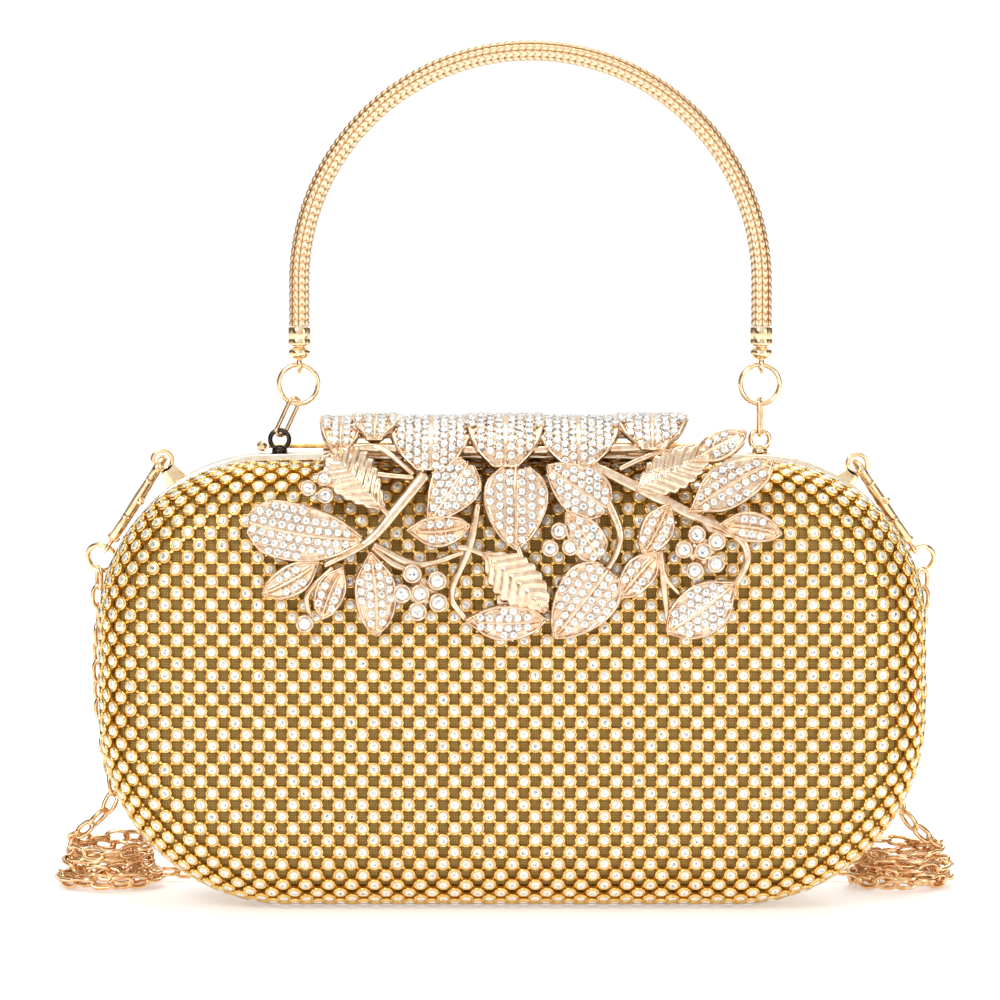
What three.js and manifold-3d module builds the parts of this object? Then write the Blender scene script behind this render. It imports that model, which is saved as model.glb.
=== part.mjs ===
// Evening bag: hard box clutch with a rhinestone mesh cover, an openwork clasp flap, a top handle
// and a chain strap. Millimetres, +Z up, front towards -Y. Built around the parting plane y = 0.
import * as THREE from 'three';
import { mergeVertices } from 'three/addons/utils/BufferGeometryUtils.js';
import Module from 'manifold-3d';

const wasm = await Module();
wasm.setup();

// Driving dimensions
const bodyWidth = 217.4;
const coverHeight = 116.6;
const bodyDepth = 56;
const edgeRadius = 24;
const bulgePower = 2.6;
const topCorner = 43;
const bottomCorner = 50;
const topArch = 0.8;
const gap = 0.3;
const coverThick = 1.9;
const shellThick = 1.2;
const liningThick = 0.8;
const frameDepth = 3.6;
const frameWidth = 3;
const partingGap = 0.4;
const frameTop = 118.3;
const partingPlaneY = 5.2;
const rimY = partingGap + frameDepth + gap;

const bottomHingeZ = 1.3;
const bottomHingeX = 36;
const knuckleRadius = 1;
const knuckleLength = 4.6;

const rodY = 5.6;
const rodZ = 120;
const rodRadius = 0.55;
const rodLeft = -66.2;
const rodRight = 51.2;

const handleY = 2.2;
const handleLeft = -56.1;
const handleRight = 65.7;
const handleRadius = 2.9;
const handleTop = 224.2;
const ringRadius = 5.15;
const ringWire = 0.5;
const ringZ = 136.5;
const linkWire = 0.45;
const linkEnd = 1.3;
const eyeRadius = 2.6;
const eyeWire = 0.35;
const eyeZ = 121.9;

const chainRadius = 2.2;

const paleGold = 0xf6d8ae;
const yellowGold = 0xe8b94f;
const roseGold = 0xf0c9a0;

const bag = new THREE.Group();
bag.position.y = partingPlaneY;

// Adds a named mesh of one geometry to the bag, or to a group inside it.
function addPart(name, geometry, color, metalness = 1, roughness = 0.3, parent = bag) {
  const material = new THREE.MeshStandardMaterial({ color, metalness, roughness });
  const part = new THREE.Mesh(geometry, material);
  part.name = name;
  parent.add(part);
  return part;
}

// Boolean solids: geometry in, geometry out
function toSolid(geometry) {
  const bare = geometry.clone();
  bare.deleteAttribute('normal');
  bare.deleteAttribute('uv');
  const merged = mergeVertices(bare, 1e-4);
  const vertProperties = new Float32Array(merged.attributes.position.array);
  const triVerts = new Uint32Array(merged.index.array);
  return new wasm.Manifold(new wasm.Mesh({ numProp: 3, vertProperties, triVerts }));
}

function fromSolid(solid) {
  const mesh = solid.getMesh();
  const geometry = new THREE.BufferGeometry();
  const position = new Float32Array(mesh.vertProperties);
  geometry.setAttribute('position', new THREE.BufferAttribute(position, 3));
  geometry.setIndex(new THREE.BufferAttribute(new Uint32Array(mesh.triVerts), 1));
  return geometry;
}

function joined(geometries) {
  return geometries.map(toSolid).reduce((whole, piece) => whole.add(piece));
}

// Simple placed shapes
function box(x0, x1, y0, y1, z0, z1) {
  const geometry = new THREE.BoxGeometry(x1 - x0, y1 - y0, z1 - z0);
  return geometry.translate((x0 + x1) / 2, (y0 + y1) / 2, (z0 + z1) / 2);
}

function cylinderX(x0, x1, y, z, radius, sides = 12) {
  const geometry = new THREE.CylinderGeometry(radius, radius, x1 - x0, sides);
  return geometry.rotateZ(Math.PI / 2).translate((x0 + x1) / 2, y, z);
}

function sphere(x, y, z, radius) {
  return new THREE.SphereGeometry(radius, 8, 5).translate(x, y, z);
}

// A round bar, or a hollow one, carried along a smooth path.
function tube(path, radius, sides, steps, bore = 0) {
  const section = new THREE.Shape();
  section.absarc(0, 0, radius, 0, 2 * Math.PI);
  if (bore > 0) {
    const hole = new THREE.Path();
    hole.absarc(0, 0, bore, 0, 2 * Math.PI);
    section.holes.push(hole);
  }
  const curveSegments = sides;
  return new THREE.ExtrudeGeometry(section, { steps, curveSegments, extrudePath: path });
}

function smoothPath(points) {
  return new THREE.CatmullRomCurve3(points.map((p) => new THREE.Vector3(...p)), false, 'centripetal');
}

// Joins closed loops of equal length into one solid: capped with a point at each end,
// or wrapped round from the last loop to the first.
function loft(loops, caps) {
  const count = loops[0].length;
  const points = loops.flat();
  const index = [];
  const rows = caps ? loops.length - 1 : loops.length;
  for (let row = 0; row < rows; row += 1) {
    const next = (row + 1) % loops.length;
    for (let i = 0; i < count; i += 1) {
      const j = (i + 1) % count;
      const [a, b] = [row * count + i, row * count + j];
      const [c, d] = [next * count + i, next * count + j];
      index.push(a, b, d, a, d, c);
    }
  }
  if (caps) {
    points.push(caps[0], caps[1]);
    const last = (loops.length - 1) * count;
    for (let i = 0; i < count; i += 1) {
      const j = (i + 1) % count;
      index.push(points.length - 2, j, i);
      index.push(points.length - 1, last + i, last + j);
    }
  }
  const geometry = new THREE.BufferGeometry();
  geometry.setAttribute('position', new THREE.Float32BufferAttribute(points.flat(), 3));
  geometry.setIndex(index);
  return geometry;
}

// The front outline, moved inwards: a rounded rectangle whose top rises a little in the middle.
// Runs anticlockwise seen from the front, as x, z pairs.
function outline(halfWidth, bottom, top, inset) {
  const arcSteps = 6;
  const topSteps = 4;
  const points = [];
  const arc = (cx, cz, radius, from) => {
    for (let i = 0; i <= arcSteps; i += 1) {
      const angle = from + (i / arcSteps) * (Math.PI / 2);
      points.push([cx + (radius - inset) * Math.cos(angle), cz + (radius - inset) * Math.sin(angle)]);
    }
  };
  const lowX = halfWidth - bottomCorner;
  const highX = halfWidth - topCorner;
  arc(lowX, bottom + bottomCorner, bottomCorner, -Math.PI / 2);
  arc(highX, top - topCorner, topCorner, 0);
  for (let i = 1; i < topSteps; i += 1) {
    const x = highX * (1 - (2 * i) / topSteps);
    points.push([x, top - inset + topArch * (1 - (x / highX) ** 2)]);
  }
  arc(-highX, top - topCorner, topCorner, Math.PI / 2);
  arc(-lowX, bottom + bottomCorner, bottomCorner, Math.PI);
  points.push([0, bottom + inset]);
  return points;
}

// One bulging half skin between two offsets from the outside. side is -1 at the front, 1 at the rear.
function dish(side, outer, thickness) {
  const rings = [90, 68, 45, 24, 0];
  const depth = bodyDepth / 2;
  const skin = (offset) => rings.map((degrees) => {
    const angle = (degrees * Math.PI) / 180;
    const across = 1 - Math.cos(angle) ** (2 / bulgePower);
    const along = Math.sin(angle) ** (2 / bulgePower);
    const inset = offset + (edgeRadius - offset) * across;
    const y = side * (rimY + (depth - offset - rimY) * along);
    return outline(bodyWidth / 2, 0, coverHeight, inset).map(([x, z]) => [x, y, z]);
  });
  const loops = [...skin(outer), ...skin(outer + thickness).reverse()];
  const middle = coverHeight / 2;
  const caps = [outer, outer + thickness].map((offset) => [0, side * (depth - offset), middle]);
  if (side < 0) {
    loops.forEach((loop) => loop.reverse());
  }
  return loft(loops, caps);
}

// A hoop frame of square section round one half, cut away for the two bottom hinges.
function hoop(side) {
  const near = side * partingGap;
  const far = side * (partingGap + frameDepth);
  const halfWidth = bodyWidth / 2 - 1.2;
  const at = (inset, y) => outline(halfWidth, 0, frameTop, inset).map(([x, z]) => [x, y, z]);
  const loops = [at(0, near), at(frameWidth, near), at(frameWidth, far), at(0, far)];
  if (side < 0) {
    loops.reverse();
  }
  let solid = toSolid(loft(loops));
  const reach = (3 * knuckleLength) / 2 + 2 * gap;
  for (const x of [-bottomHingeX, bottomHingeX]) {
    solid = solid.subtract(toSolid(box(x - reach, x + reach, -2.2, 2.2, -1, frameWidth + 1)));
  }
  return fromSolid(solid);
}

// A bottom hinge: the rear leaf has two knuckles, the front leaf the one between them.
function bottomLeaf(centre, side) {
  const half = knuckleLength / 2;
  const spans = side > 0
    ? [[-3 * half, -half - gap / 2], [half + gap / 2, 3 * half]]
    : [[-half + gap / 2, half - gap / 2]];
  const pieces = spans.flatMap(([from, to]) => {
    const edge = [side * 0.4, side * 1.5].sort((a, b) => a - b);
    return [
      cylinderX(centre + from, centre + to, 0, bottomHingeZ, knuckleRadius),
      box(centre + from, centre + to, ...edge, bottomHingeZ - 0.6, bottomHingeZ + 0.6),
    ];
  });
  const face = [side * 1.3, side * 1.9].sort((a, b) => a - b);
  pieces.push(box(centre - 3 * half, centre + 3 * half, ...face, 0.3, frameWidth - 0.4));
  const bore = cylinderX(centre - 8, centre + 8, 0, bottomHingeZ, 0.62);
  return fromSolid(joined(pieces).subtract(toSolid(bore)));
}

function addBody() {
  addPart('rear_frame', hoop(1), yellowGold);
  addPart('rear_shell', dish(1, coverThick + gap, shellThick), 0xb9b4aa, 0.2, 0.5);
  addPart('rear_mesh_cover', dish(1, 0, coverThick), yellowGold, 0.9);
  addPart('rear_lining', dish(1, coverThick + shellThick + 2 * gap, liningThick), 0xd9c39a, 0, 0.7);
  const pocketY = bodyDepth / 2 - coverThick - shellThick - liningThick - 3 * gap;
  addPart('slip_pocket', box(-52, 52, pocketY - 1, pocketY, 30, 78), 0xd9c39a, 0, 0.7);
  addPart('front_frame', hoop(-1), yellowGold);
  addPart('front_shell', dish(-1, coverThick + gap, shellThick), 0xb9b4aa, 0.2, 0.5);
  addPart('front_mesh_cover', dish(-1, 0, coverThick), yellowGold, 0.9);
  addPart('front_lining', dish(-1, coverThick + shellThick + 2 * gap, liningThick), 0xd9c39a, 0, 0.7);
  const catchPlate = new THREE.CylinderGeometry(6, 6, 1, 16).translate(0, 0.5 - pocketY, 82);
  addPart('catch_plate', catchPlate, 0x9a9a9a, 1, 0.4);
  for (const [label, x] of [['left', -bottomHingeX], ['right', bottomHingeX]]) {
    const half = (3 * knuckleLength) / 2;
    addPart(`bottom_hinge_${label}_rear_leaf`, bottomLeaf(x, 1), yellowGold);
    addPart(`bottom_hinge_${label}_front_leaf`, bottomLeaf(x, -1), yellowGold);
    addPart(`bottom_hinge_${label}_pin`, cylinderX(x - half, x + half, 0, bottomHingeZ, 0.5), yellowGold);
  }
}

// Shoulder lug for a clasp: a flat ring with a tab down to the frame.
const lugRing = 3.1;
const lugHole = 2.15;
const lugs = { left: [-92.4, 116.4], right: [91.2, 115.4] };

function chainLug(x, z) {
  const centreX = Math.sign(x) * (bodyWidth / 2 - 1.2 - topCorner);
  const centreZ = frameTop - topCorner;
  const away = new THREE.Vector2(x - centreX, z - centreZ).normalize();
  const foot = topCorner + gap;
  const shape = new THREE.Shape();
  const across = new THREE.Vector2(-away.y, away.x);
  const corner = (out, side) => [
    centreX + away.x * out + across.x * side,
    centreZ + away.y * out + across.y * side,
  ];
  const reach = Math.hypot(x - centreX, z - centreZ);
  shape.moveTo(...corner(foot, -2.6));
  shape.lineTo(...corner(foot, 2.6));
  shape.lineTo(...corner(reach - 1, 2.6));
  shape.lineTo(...corner(reach - 1, -2.6));
  const ring = new THREE.Shape();
  ring.absarc(x, z, lugRing, 0, 2 * Math.PI);
  const hole = new THREE.Shape();
  hole.absarc(x, z, lugHole, 0, 2 * Math.PI);
  const plate = (outlineShape, depth) => {
    const options = { depth, bevelEnabled: false, curveSegments: 8 };
    const flat = new THREE.ExtrudeGeometry(outlineShape, options);
    return toSolid(flat.rotateX(Math.PI / 2).translate(0, handleY + depth / 2, 0));
  };
  return fromSolid(plate(shape, 1.2).add(plate(ring, 1.2)).subtract(plate(hole, 3)));
}

function torusFacing(axis, x, y, z, radius, wire, around = 18) {
  const geometry = new THREE.TorusGeometry(radius, wire, 6, around);
  if (axis === 'y') {
    geometry.rotateX(Math.PI / 2);
  } else {
    geometry.rotateY(Math.PI / 2);
  }
  return geometry.translate(x, y, z);
}

// Handle: eye on the frame, oval link, ring, end cap and ribbed tube.
const eyes = { left: -61.4, right: 65.4 };
const rings = { left: -56.4, right: 65.4 };
const linkFoot = { left: [-60.9, 124.45], right: [65.4, 124.5] };
const linkHead = { left: [-57.6, 131.49], right: [65.4, 131.35] };

function handleLug(x) {
  const foot = new THREE.CylinderGeometry(1, 2, 1.4, 12).rotateX(Math.PI / 2);
  const footZ = frameTop + topArch + gap - 0.35;
  foot.translate(x, handleY, footZ + 0.6);
  return fromSolid(joined([torusFacing('y', x, handleY, eyeZ, eyeRadius, eyeWire), foot]));
}

// An oval wire link between two centres, its flat faces towards +X and -X.
function ovalLink([x0, z0], [x1, z1]) {
  const long = new THREE.Vector3(x1 - x0, 0, z1 - z0);
  const up = long.clone().normalize();
  const points = [];
  const arcSteps = 6;
  for (const [cx, cz, from] of [[x1, z1, 0], [x0, z0, Math.PI]]) {
    for (let i = 0; i <= arcSteps; i += 1) {
      const angle = from + (i / arcSteps) * Math.PI;
      const rise = Math.sin(angle) * linkEnd;
      points.push(new THREE.Vector3(
        cx + up.x * rise,
        handleY - Math.cos(angle) * linkEnd,
        cz + up.z * rise,
      ));
    }
  }
  const side = new THREE.Vector3(up.z, 0, -up.x);
  const loops = points.map((point, i) => {
    const before = points[(i + points.length - 1) % points.length];
    const after = points[(i + 1) % points.length];
    const along = after.clone().sub(before).normalize();
    const out = new THREE.Vector3().crossVectors(along, side).normalize();
    return Array.from({ length: 8 }, (_, k) => {
      const angle = (k / 8) * 2 * Math.PI;
      const p = point.clone();
      p.addScaledVector(side, linkWire * Math.cos(angle));
      p.addScaledVector(out, linkWire * Math.sin(angle));
      return p.toArray();
    });
  });
  return loft(loops);
}

function handleCap(x) {
  const profile = [
    [0, 143.1], [1.7, 143.1], [2.8, 144.2], [2.8, 145.6], [1.5, 146.1],
    [1.5, 146.7], [2.9, 146.7], [2.9, 151.6], [0, 151.6],
  ].map(([r, z]) => new THREE.Vector2(r, z));
  const body = new THREE.LatheGeometry(profile, 16).rotateX(Math.PI / 2).translate(x, handleY, 0);
  return fromSolid(joined([body, torusFacing('x', x, handleY, 141.6, 1.8, 0.65, 16)]));
}

// The arch: straight legs up to a half circle.
function handlePath(legBottom) {
  const radius = (handleRight - handleLeft) / 2;
  const middle = (handleRight + handleLeft) / 2;
  const springing = handleTop - radius;
  const at = (x, z) => new THREE.Vector3(x, handleY, z);
  const points = [at(handleLeft, legBottom), at(handleLeft, (legBottom + springing) / 2)];
  for (let degrees = 180; degrees >= 0; degrees -= 15) {
    const angle = (degrees * Math.PI) / 180;
    points.push(at(middle + radius * Math.cos(angle), springing + radius * Math.sin(angle)));
  }
  points.push(at(handleRight, (legBottom + springing) / 2), at(handleRight, legBottom));
  return new THREE.CatmullRomCurve3(points);
}

function addHandle() {
  const legBottom = 151.6 + gap;
  for (const side of ['left', 'right']) {
    addPart(`chain_lug_${side}`, chainLug(...lugs[side]), paleGold);
    addPart(`handle_lug_${side}`, handleLug(eyes[side]), paleGold);
    addPart(`handle_link_${side}`, ovalLink(linkFoot[side], linkHead[side]), paleGold);
    const ring = torusFacing('y', rings[side], handleY, ringZ, ringRadius, ringWire);
    addPart(`handle_ring_${side}`, ring, paleGold);
    addPart(`handle_cap_${side}`, handleCap(side === 'left' ? handleLeft : handleRight), paleGold);
  }
  addPart('handle_tube', tube(handlePath(legBottom), handleRadius, 5, 26, 1.6), roseGold);
  addPart('handle_core', tube(handlePath(legBottom + 0.2), 1.2, 3, 26), 0x8a8a8a);
}

// The flap's own section, seen from the side: from the hinge over the top and down the front.
const flapThick = 2;
const flapSection = [
  [5.6 - 1.1, 121.9], [-2, 125.9], [-10, 127.5], [-18, 126.6], [-25, 122.4],
  [-29.6, 115.6], [-31.7, 107], [-32.5, 96], [-32.5, 60],
];

function flapSkin() {
  const path = new THREE.CatmullRomCurve3(flapSection.map(([y, z]) => new THREE.Vector3(y, z, 0)));
  const spine = path.getPoints(16);
  const shape = new THREE.Shape();
  const normals = spine.map((p, i) => {
    const before = spine[Math.max(i - 1, 0)];
    const after = spine[Math.min(i + 1, spine.length - 1)];
    const along = after.clone().sub(before).normalize();
    return new THREE.Vector2(-along.y, along.x);
  });
  const edge = (side) => spine.map((p, i) => new THREE.Vector2(
    p.x + (side * normals[i].x * flapThick) / 2,
    p.y + (side * normals[i].y * flapThick) / 2,
  ));
  shape.setFromPoints([...edge(1), ...edge(-1).reverse()]);
  const options = { depth: 200, bevelEnabled: false };
  const flat = new THREE.ExtrudeGeometry(shape, options);
  // the section's plane becomes Y, Z and the extrusion runs along X
  return toSolid(flat.rotateY(Math.PI / 2).rotateX(Math.PI / 2).translate(-100, 0, 0));
}

// A leaf seen from the front, from its base to its tip, pressed straight through the flap.
function leaf([x0, z0], [x1, z1], width) {
  const [dx, dz] = [x1 - x0, z1 - z0];
  const length = Math.hypot(dx, dz);
  const [nx, nz] = [-dz / length, dx / length];
  const at = (t, side) => [x0 + dx * t + nx * side, z0 + dz * t + nz * side];
  const shape = new THREE.Shape();
  shape.moveTo(...at(0, 0.5));
  shape.quadraticCurveTo(...at(0.35, width), ...at(1, 0.5));
  shape.lineTo(...at(1, -0.5));
  shape.quadraticCurveTo(...at(0.35, -width), ...at(0, -0.5));
  return pressed(shape);
}

// A stem through its points, of one width.
function stem(points, width) {
  const path = new THREE.SplineCurve(points.map((p) => new THREE.Vector2(...p)));
  const spine = path.getPoints(3 * (points.length - 1));
  const edge = (side) => spine.map((p, i) => {
    const before = spine[Math.max(i - 1, 0)];
    const after = spine[Math.min(i + 1, spine.length - 1)];
    const along = after.clone().sub(before).normalize();
    return new THREE.Vector2(p.x - (side * along.y * width) / 2, p.y + (side * along.x * width) / 2);
  });
  const shape = new THREE.Shape();
  shape.setFromPoints([...edge(1), ...edge(-1).reverse()]);
  return pressed(shape);
}

function pressed(shape) {
  const flat = new THREE.ExtrudeGeometry(shape, { depth: 100, bevelEnabled: false, curveSegments: 5 });
  return toSolid(flat.rotateX(Math.PI / 2).translate(0, 20, 0));
}

// Sprays: leaves as base, tip and width, stems as points, in x and z on the front.
const bridgeFoot = 116.6;
const sprays = {
  left_spray: {
    leaves: [
      [[-39.7, 95.5], [-69, 99.8], 9], [[-33, 104], [-48, 116], 8], [[-51, 90], [-66, 80.5], 6],
      [[-45, 92], [-52, 75], 5.5], [[-38, 94], [-35.5, 70.6], 7], [[-25, 113], [-12.5, 106], 8],
      [[-33, 103], [-14.5, 97], 6.5],
    ],
    stems: [
      [[-20, 116.2], [-26, 111], [-33, 103.5], [-39, 95.5], [-51, 89]],
      [[-39, 95.5], [-24.7, 89.2], [-17.5, 90.5]],
      [[-52, 88.5], [-57, 82], [-53.4, 75.6]],
      [[-44, 116.2], [-40, 110], [-33, 103.5]],
    ],
  },
  centre_spray: {
    leaves: [
      [[1, 116.2], [1, 94], 11], [[-5, 95], [10, 78], 8], [[-12.2, 75], [8.7, 73.5], 6.5],
      [[26.5, 88.5], [12.1, 72.5], 9],
    ],
    stems: [
      [[-2, 109], [-9.4, 94], [-14.6, 82], [-11.5, 74.5]],
      [[20, 116.2], [27.9, 100], [27.9, 93.5], [25.2, 88]],
      [[1, 97], [3, 86], [0.5, 74.5]],
      [[5, 82.5], [13, 81], [20, 83]],
    ],
  },
  right_spray: {
    leaves: [
      [[32.6, 109.6], [52.6, 116], 9], [[47, 103.8], [68, 115.5], 10], [[54.4, 100.1], [71, 97.2], 5.5],
      [[33.5, 106], [41, 88], 6], [[34, 92], [32, 82], 7], [[58.9, 83.8], [41.5, 72.5], 9],
    ],
    stems: [
      [[27, 116.2], [33.6, 109.3], [46.3, 103], [59.4, 96.7], [62, 91], [58.9, 83.8]],
      [[40.7, 89], [36, 86], [41.5, 78], [45, 76]],
      [[46.3, 103], [49, 96], [55, 92], [59.4, 96.7]],
      [[41, 88], [46, 92], [49, 94.5]],
    ],
  },
};

function spray({ leaves, stems }, skin) {
  const pieces = [...leaves.map((l) => leaf(...l)), ...stems.map((points) => stem(points, 2.4))];
  const whole = pieces.reduce((sum, piece) => sum.add(piece));
  return whole.intersect(skin).subtract(toSolid(box(-90, 90, -60, 40, bridgeFoot - gap, 200)));
}

// The bridge over the top: three broad leaves side by side, held by a rail along the hinge.
function flapBridge(skin) {
  const above = toSolid(box(-48, 43.5, -60, rodY - 1.4 - gap, bridgeFoot, 140));
  let bridge = skin.intersect(above);
  for (const [from, to] of [[-40, -34], [-27.5, -14.5], [9.5, 25], [32, 37]]) {
    bridge = bridge.subtract(toSolid(box(from, to, -22, -6, 110, 140)));
  }
  return bridge;
}

// A rosette of set stones on a round back plate, standing before the flap.
function rosette(x, z, reach, stone) {
  const faceY = -32.5 - flapThick / 2 - gap;
  const pieces = [new THREE.CylinderGeometry(reach, reach, 1, 12).translate(x, faceY - 0.5, z)];
  for (let i = 0; i < 6; i += 1) {
    const angle = (i / 6) * 2 * Math.PI;
    const dx = Math.cos(angle) * (reach - stone * 0.45);
    const dz = Math.sin(angle) * (reach - stone * 0.45);
    pieces.push(sphere(x + dx, faceY - stone / 2, z + dz, stone / 2));
  }
  return fromSolid(joined(pieces));
}

function addFlap() {
  const left = rodLeft + 1.5 + gap;
  const right = rodRight - 1.5 - gap;
  addPart('flap_hinge_rod', cylinderX(left, right, rodY, rodZ, rodRadius), yellowGold);
  for (const [label, x] of [['left', rodLeft], ['right', rodRight]]) {
    const footZ = frameTop + topArch + gap;
    const pieces = [
      new THREE.SphereGeometry(1.5, 12, 8).translate(x, rodY, rodZ),
      box(x - 0.8, x + 0.8, 1.2, rodY, footZ, footZ + 0.9),
    ];
    addPart(`flap_hinge_post_${label}`, fromSolid(joined(pieces)), paleGold);
  }
  const barrel = toSolid(cylinderX(-50, 43.5, rodY, rodZ, 1.4, 16))
    .subtract(toSolid(cylinderX(-60, 60, rodY, rodZ, rodRadius + 0.25, 12)));
  const skin = flapSkin();
  addPart('flap_hinge_barrel', fromSolid(barrel), paleGold);
  addPart('flap_bridge', fromSolid(flapBridge(skin)), roseGold);
  for (const [name, parts] of Object.entries(sprays)) {
    addPart(name, fromSolid(spray(parts, skin)), roseGold);
  }
  addPart('flower_left', rosette(-24.2, 81.8, 5.4, 4.6), roseGold);
  addPart('flower_right', rosette(49.1, 93, 4.2, 3.6), roseGold);
  const magnet = new THREE.CylinderGeometry(5, 5, 1.4, 16);
  magnet.translate(1, -32.5 + flapThick / 2 + gap + 0.7, 82);
  addPart('flap_magnet', magnet, 0x9a9a9a, 1, 0.4);
}

// Lobster clasp, drawn along its own length: u away from the lug, v across, w out of its plane.
const claspLength = 26.5;
const claspRing = { radius: 3.5, wire: 0.6 };
const claspRings = { left: [-108.8, 16, 90.4], right: [108.5, 16, 89.9] };

function claspHook() {
  const far = claspLength;
  const curve = smoothPath([
    [4.2, -3.2, 0], [1.2, -2.6, 0], [0, 0, 0], [1.2, 2.6, 0], [5, 3.4, 0], [12, 3.6, 0],
    [19, 3.2, 0], [24, 2, 0], [far, 0, 0], [24, -2, 0], [18.6, -3.1, 0],
  ]);
  const eye = new THREE.TorusGeometry(1.9, 0.6, 6, 14).translate(far + 2.5, 0, 0);
  return fromSolid(joined([tube(curve, 0.95, 3, 26), eye]));
}

function claspTrigger() {
  const bar = tube(smoothPath([[17.2, -3.1, 0], [11, -3.4, 0], [5.6, -3.2, 0]]), 0.85, 3, 4);
  const tab = sphere(11.5, -4.3, 1, 1.1);
  return fromSolid(joined([bar, tab]));
}

function addClasps() {
  for (const side of ['left', 'right']) {
    const [x, z] = lugs[side];
    const start = new THREE.Vector3(x, handleY, z);
    const end = new THREE.Vector3(...claspRings[side]);
    const u = end.clone().sub(start).normalize();
    const v = new THREE.Vector3(0, 1, 0);
    v.addScaledVector(u, -v.dot(u)).normalize();
    const w = new THREE.Vector3().crossVectors(u, v);
    const clasp = new THREE.Group();
    clasp.quaternion.setFromRotationMatrix(new THREE.Matrix4().makeBasis(u, v, w));
    clasp.position.copy(start);
    bag.add(clasp);
    addPart(`clasp_hook_${side}`, claspHook(), paleGold, 1, 0.25, clasp);
    addPart(`clasp_trigger_${side}`, claspTrigger(), paleGold, 1, 0.25, clasp);
    const ring = new THREE.TorusGeometry(claspRing.radius, claspRing.wire, 6, 18);
    ring.rotateX(Math.PI / 2).translate(claspLength + 2.8 + claspRing.radius, 0, 0);
    addPart(`clasp_ring_${side}`, ring, paleGold, 1, 0.25, clasp);
  }
}

// Shoulder chain: hangs from each clasp ring, heaps on the floor and runs behind the bag.
const chainFalls = {
  left: [
    [-109.2, 17.4, 85.2], [-109.3, 18.6, 70], [-109.2, 19, 52], [-108.8, 19.2, 36], [-107.4, 20, 25], [-106.6, 21, 18.2],
  ],
  right: [
    [109, 17.4, 84.7], [109.2, 18.6, 70], [109, 19, 50], [108.4, 19.2, 34], [107.6, 20, 24], [107, 21, 17.2],
  ],
};
const chainRun = [
  [-91.6, 33, 2.3], [-60, 34.5, 2.3], [-20, 33.5, 2.3], [25, 34.8, 2.3], [60, 33.6, 2.3], [87.6, 33, 2.3],
];
const heaps = { left: [-107.4, 24, 15, 16.6], right: [103.4, 24, 15, 15.4] };

function heap([x, y, radius, height]) {
  const profile = [[0, 0], [1, 0], [1, 0.24], [0.84, 0.55], [0.5, 0.85], [0, 1]]
    .map(([r, z]) => new THREE.Vector2(r * radius, z * height));
  return new THREE.LatheGeometry(profile, 20).rotateX(Math.PI / 2).scale(1, 0.8, 1).translate(x, y, 0);
}

function addChain() {
  for (const side of ['left', 'right']) {
    addPart(`chain_fall_${side}`, tube(smoothPath(chainFalls[side]), chainRadius, 4, 14), paleGold);
    addPart(`chain_heap_${side}`, heap(heaps[side]), paleGold);
  }
  addPart('chain_rear_run', tube(smoothPath(chainRun), chainRadius, 4, 22), paleGold);
}

addBody();
addHandle();
addFlap();
addClasps();
addChain();

export default bag;
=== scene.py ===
import bpy
import numpy as np
from math import cos, pi, radians, sin
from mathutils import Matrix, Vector


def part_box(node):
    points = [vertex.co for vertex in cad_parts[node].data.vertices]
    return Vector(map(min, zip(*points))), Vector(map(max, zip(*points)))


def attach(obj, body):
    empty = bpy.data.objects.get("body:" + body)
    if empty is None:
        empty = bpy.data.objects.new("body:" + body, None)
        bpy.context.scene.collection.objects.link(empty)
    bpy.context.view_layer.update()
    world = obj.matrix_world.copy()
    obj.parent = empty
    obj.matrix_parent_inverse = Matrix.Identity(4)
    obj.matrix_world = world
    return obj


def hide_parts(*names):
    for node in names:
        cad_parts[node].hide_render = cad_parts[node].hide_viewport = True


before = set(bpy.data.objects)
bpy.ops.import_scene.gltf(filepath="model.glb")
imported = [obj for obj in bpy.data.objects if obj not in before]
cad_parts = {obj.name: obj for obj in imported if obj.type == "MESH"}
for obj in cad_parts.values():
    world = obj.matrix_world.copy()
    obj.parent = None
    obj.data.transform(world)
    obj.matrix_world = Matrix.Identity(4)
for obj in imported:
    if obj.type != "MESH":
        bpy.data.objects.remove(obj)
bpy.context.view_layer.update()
mm = 0.001
print("frame loaded")


# Turns an sRGB hex colour into linear RGB with the standard sRGB curve.
def linear(hexColour):
    parts = [int(hexColour[i:i + 2], 16) / 255 for i in (1, 3, 5)]
    return tuple(((c + 0.055) / 1.055) ** 2.4 if c > 0.04045 else c / 12.92 for c in parts) + (1,)


# Sets a node's inputs; each is a plain value or another node's socket.
def setInputs(tree, node, inputs):
    for key, value in inputs.items():
        if isinstance(value, bpy.types.NodeSocket):
            tree.links.new(value, node.inputs[key])
        else:
            node.inputs[key].default_value = value


# Adds a node with its settings and inputs and, on a colour ramp, its stops of place and hex colour.
def addNode(tree, kind, settings=None, inputs=None, stops=()):
    node = tree.nodes.new("ShaderNode" + kind)
    for key, value in (settings or {}).items():
        setattr(node, key, value)
    setInputs(tree, node, inputs or {})
    if stops:
        elements = node.color_ramp.elements
        while len(elements) < len(stops):
            elements.new(0.5)
        for element, (at, colour) in zip(elements, stops):
            element.position = at
            element.color = linear(colour)
    return node


# A new material with one Principled shader, ready for more nodes.
def newMaterial(name, baseColour, **sockets):
    material = bpy.data.materials.new(name)
    material.use_nodes = True
    shader = material.node_tree.nodes["Principled BSDF"]
    shader.inputs["Base Color"].default_value = linear(baseColour)
    setInputs(material.node_tree, shader, {key.replace("_", " "): value for key, value in sockets.items()})
    material.diffuse_color = linear(baseColour)
    return material, material.node_tree, shader


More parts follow.
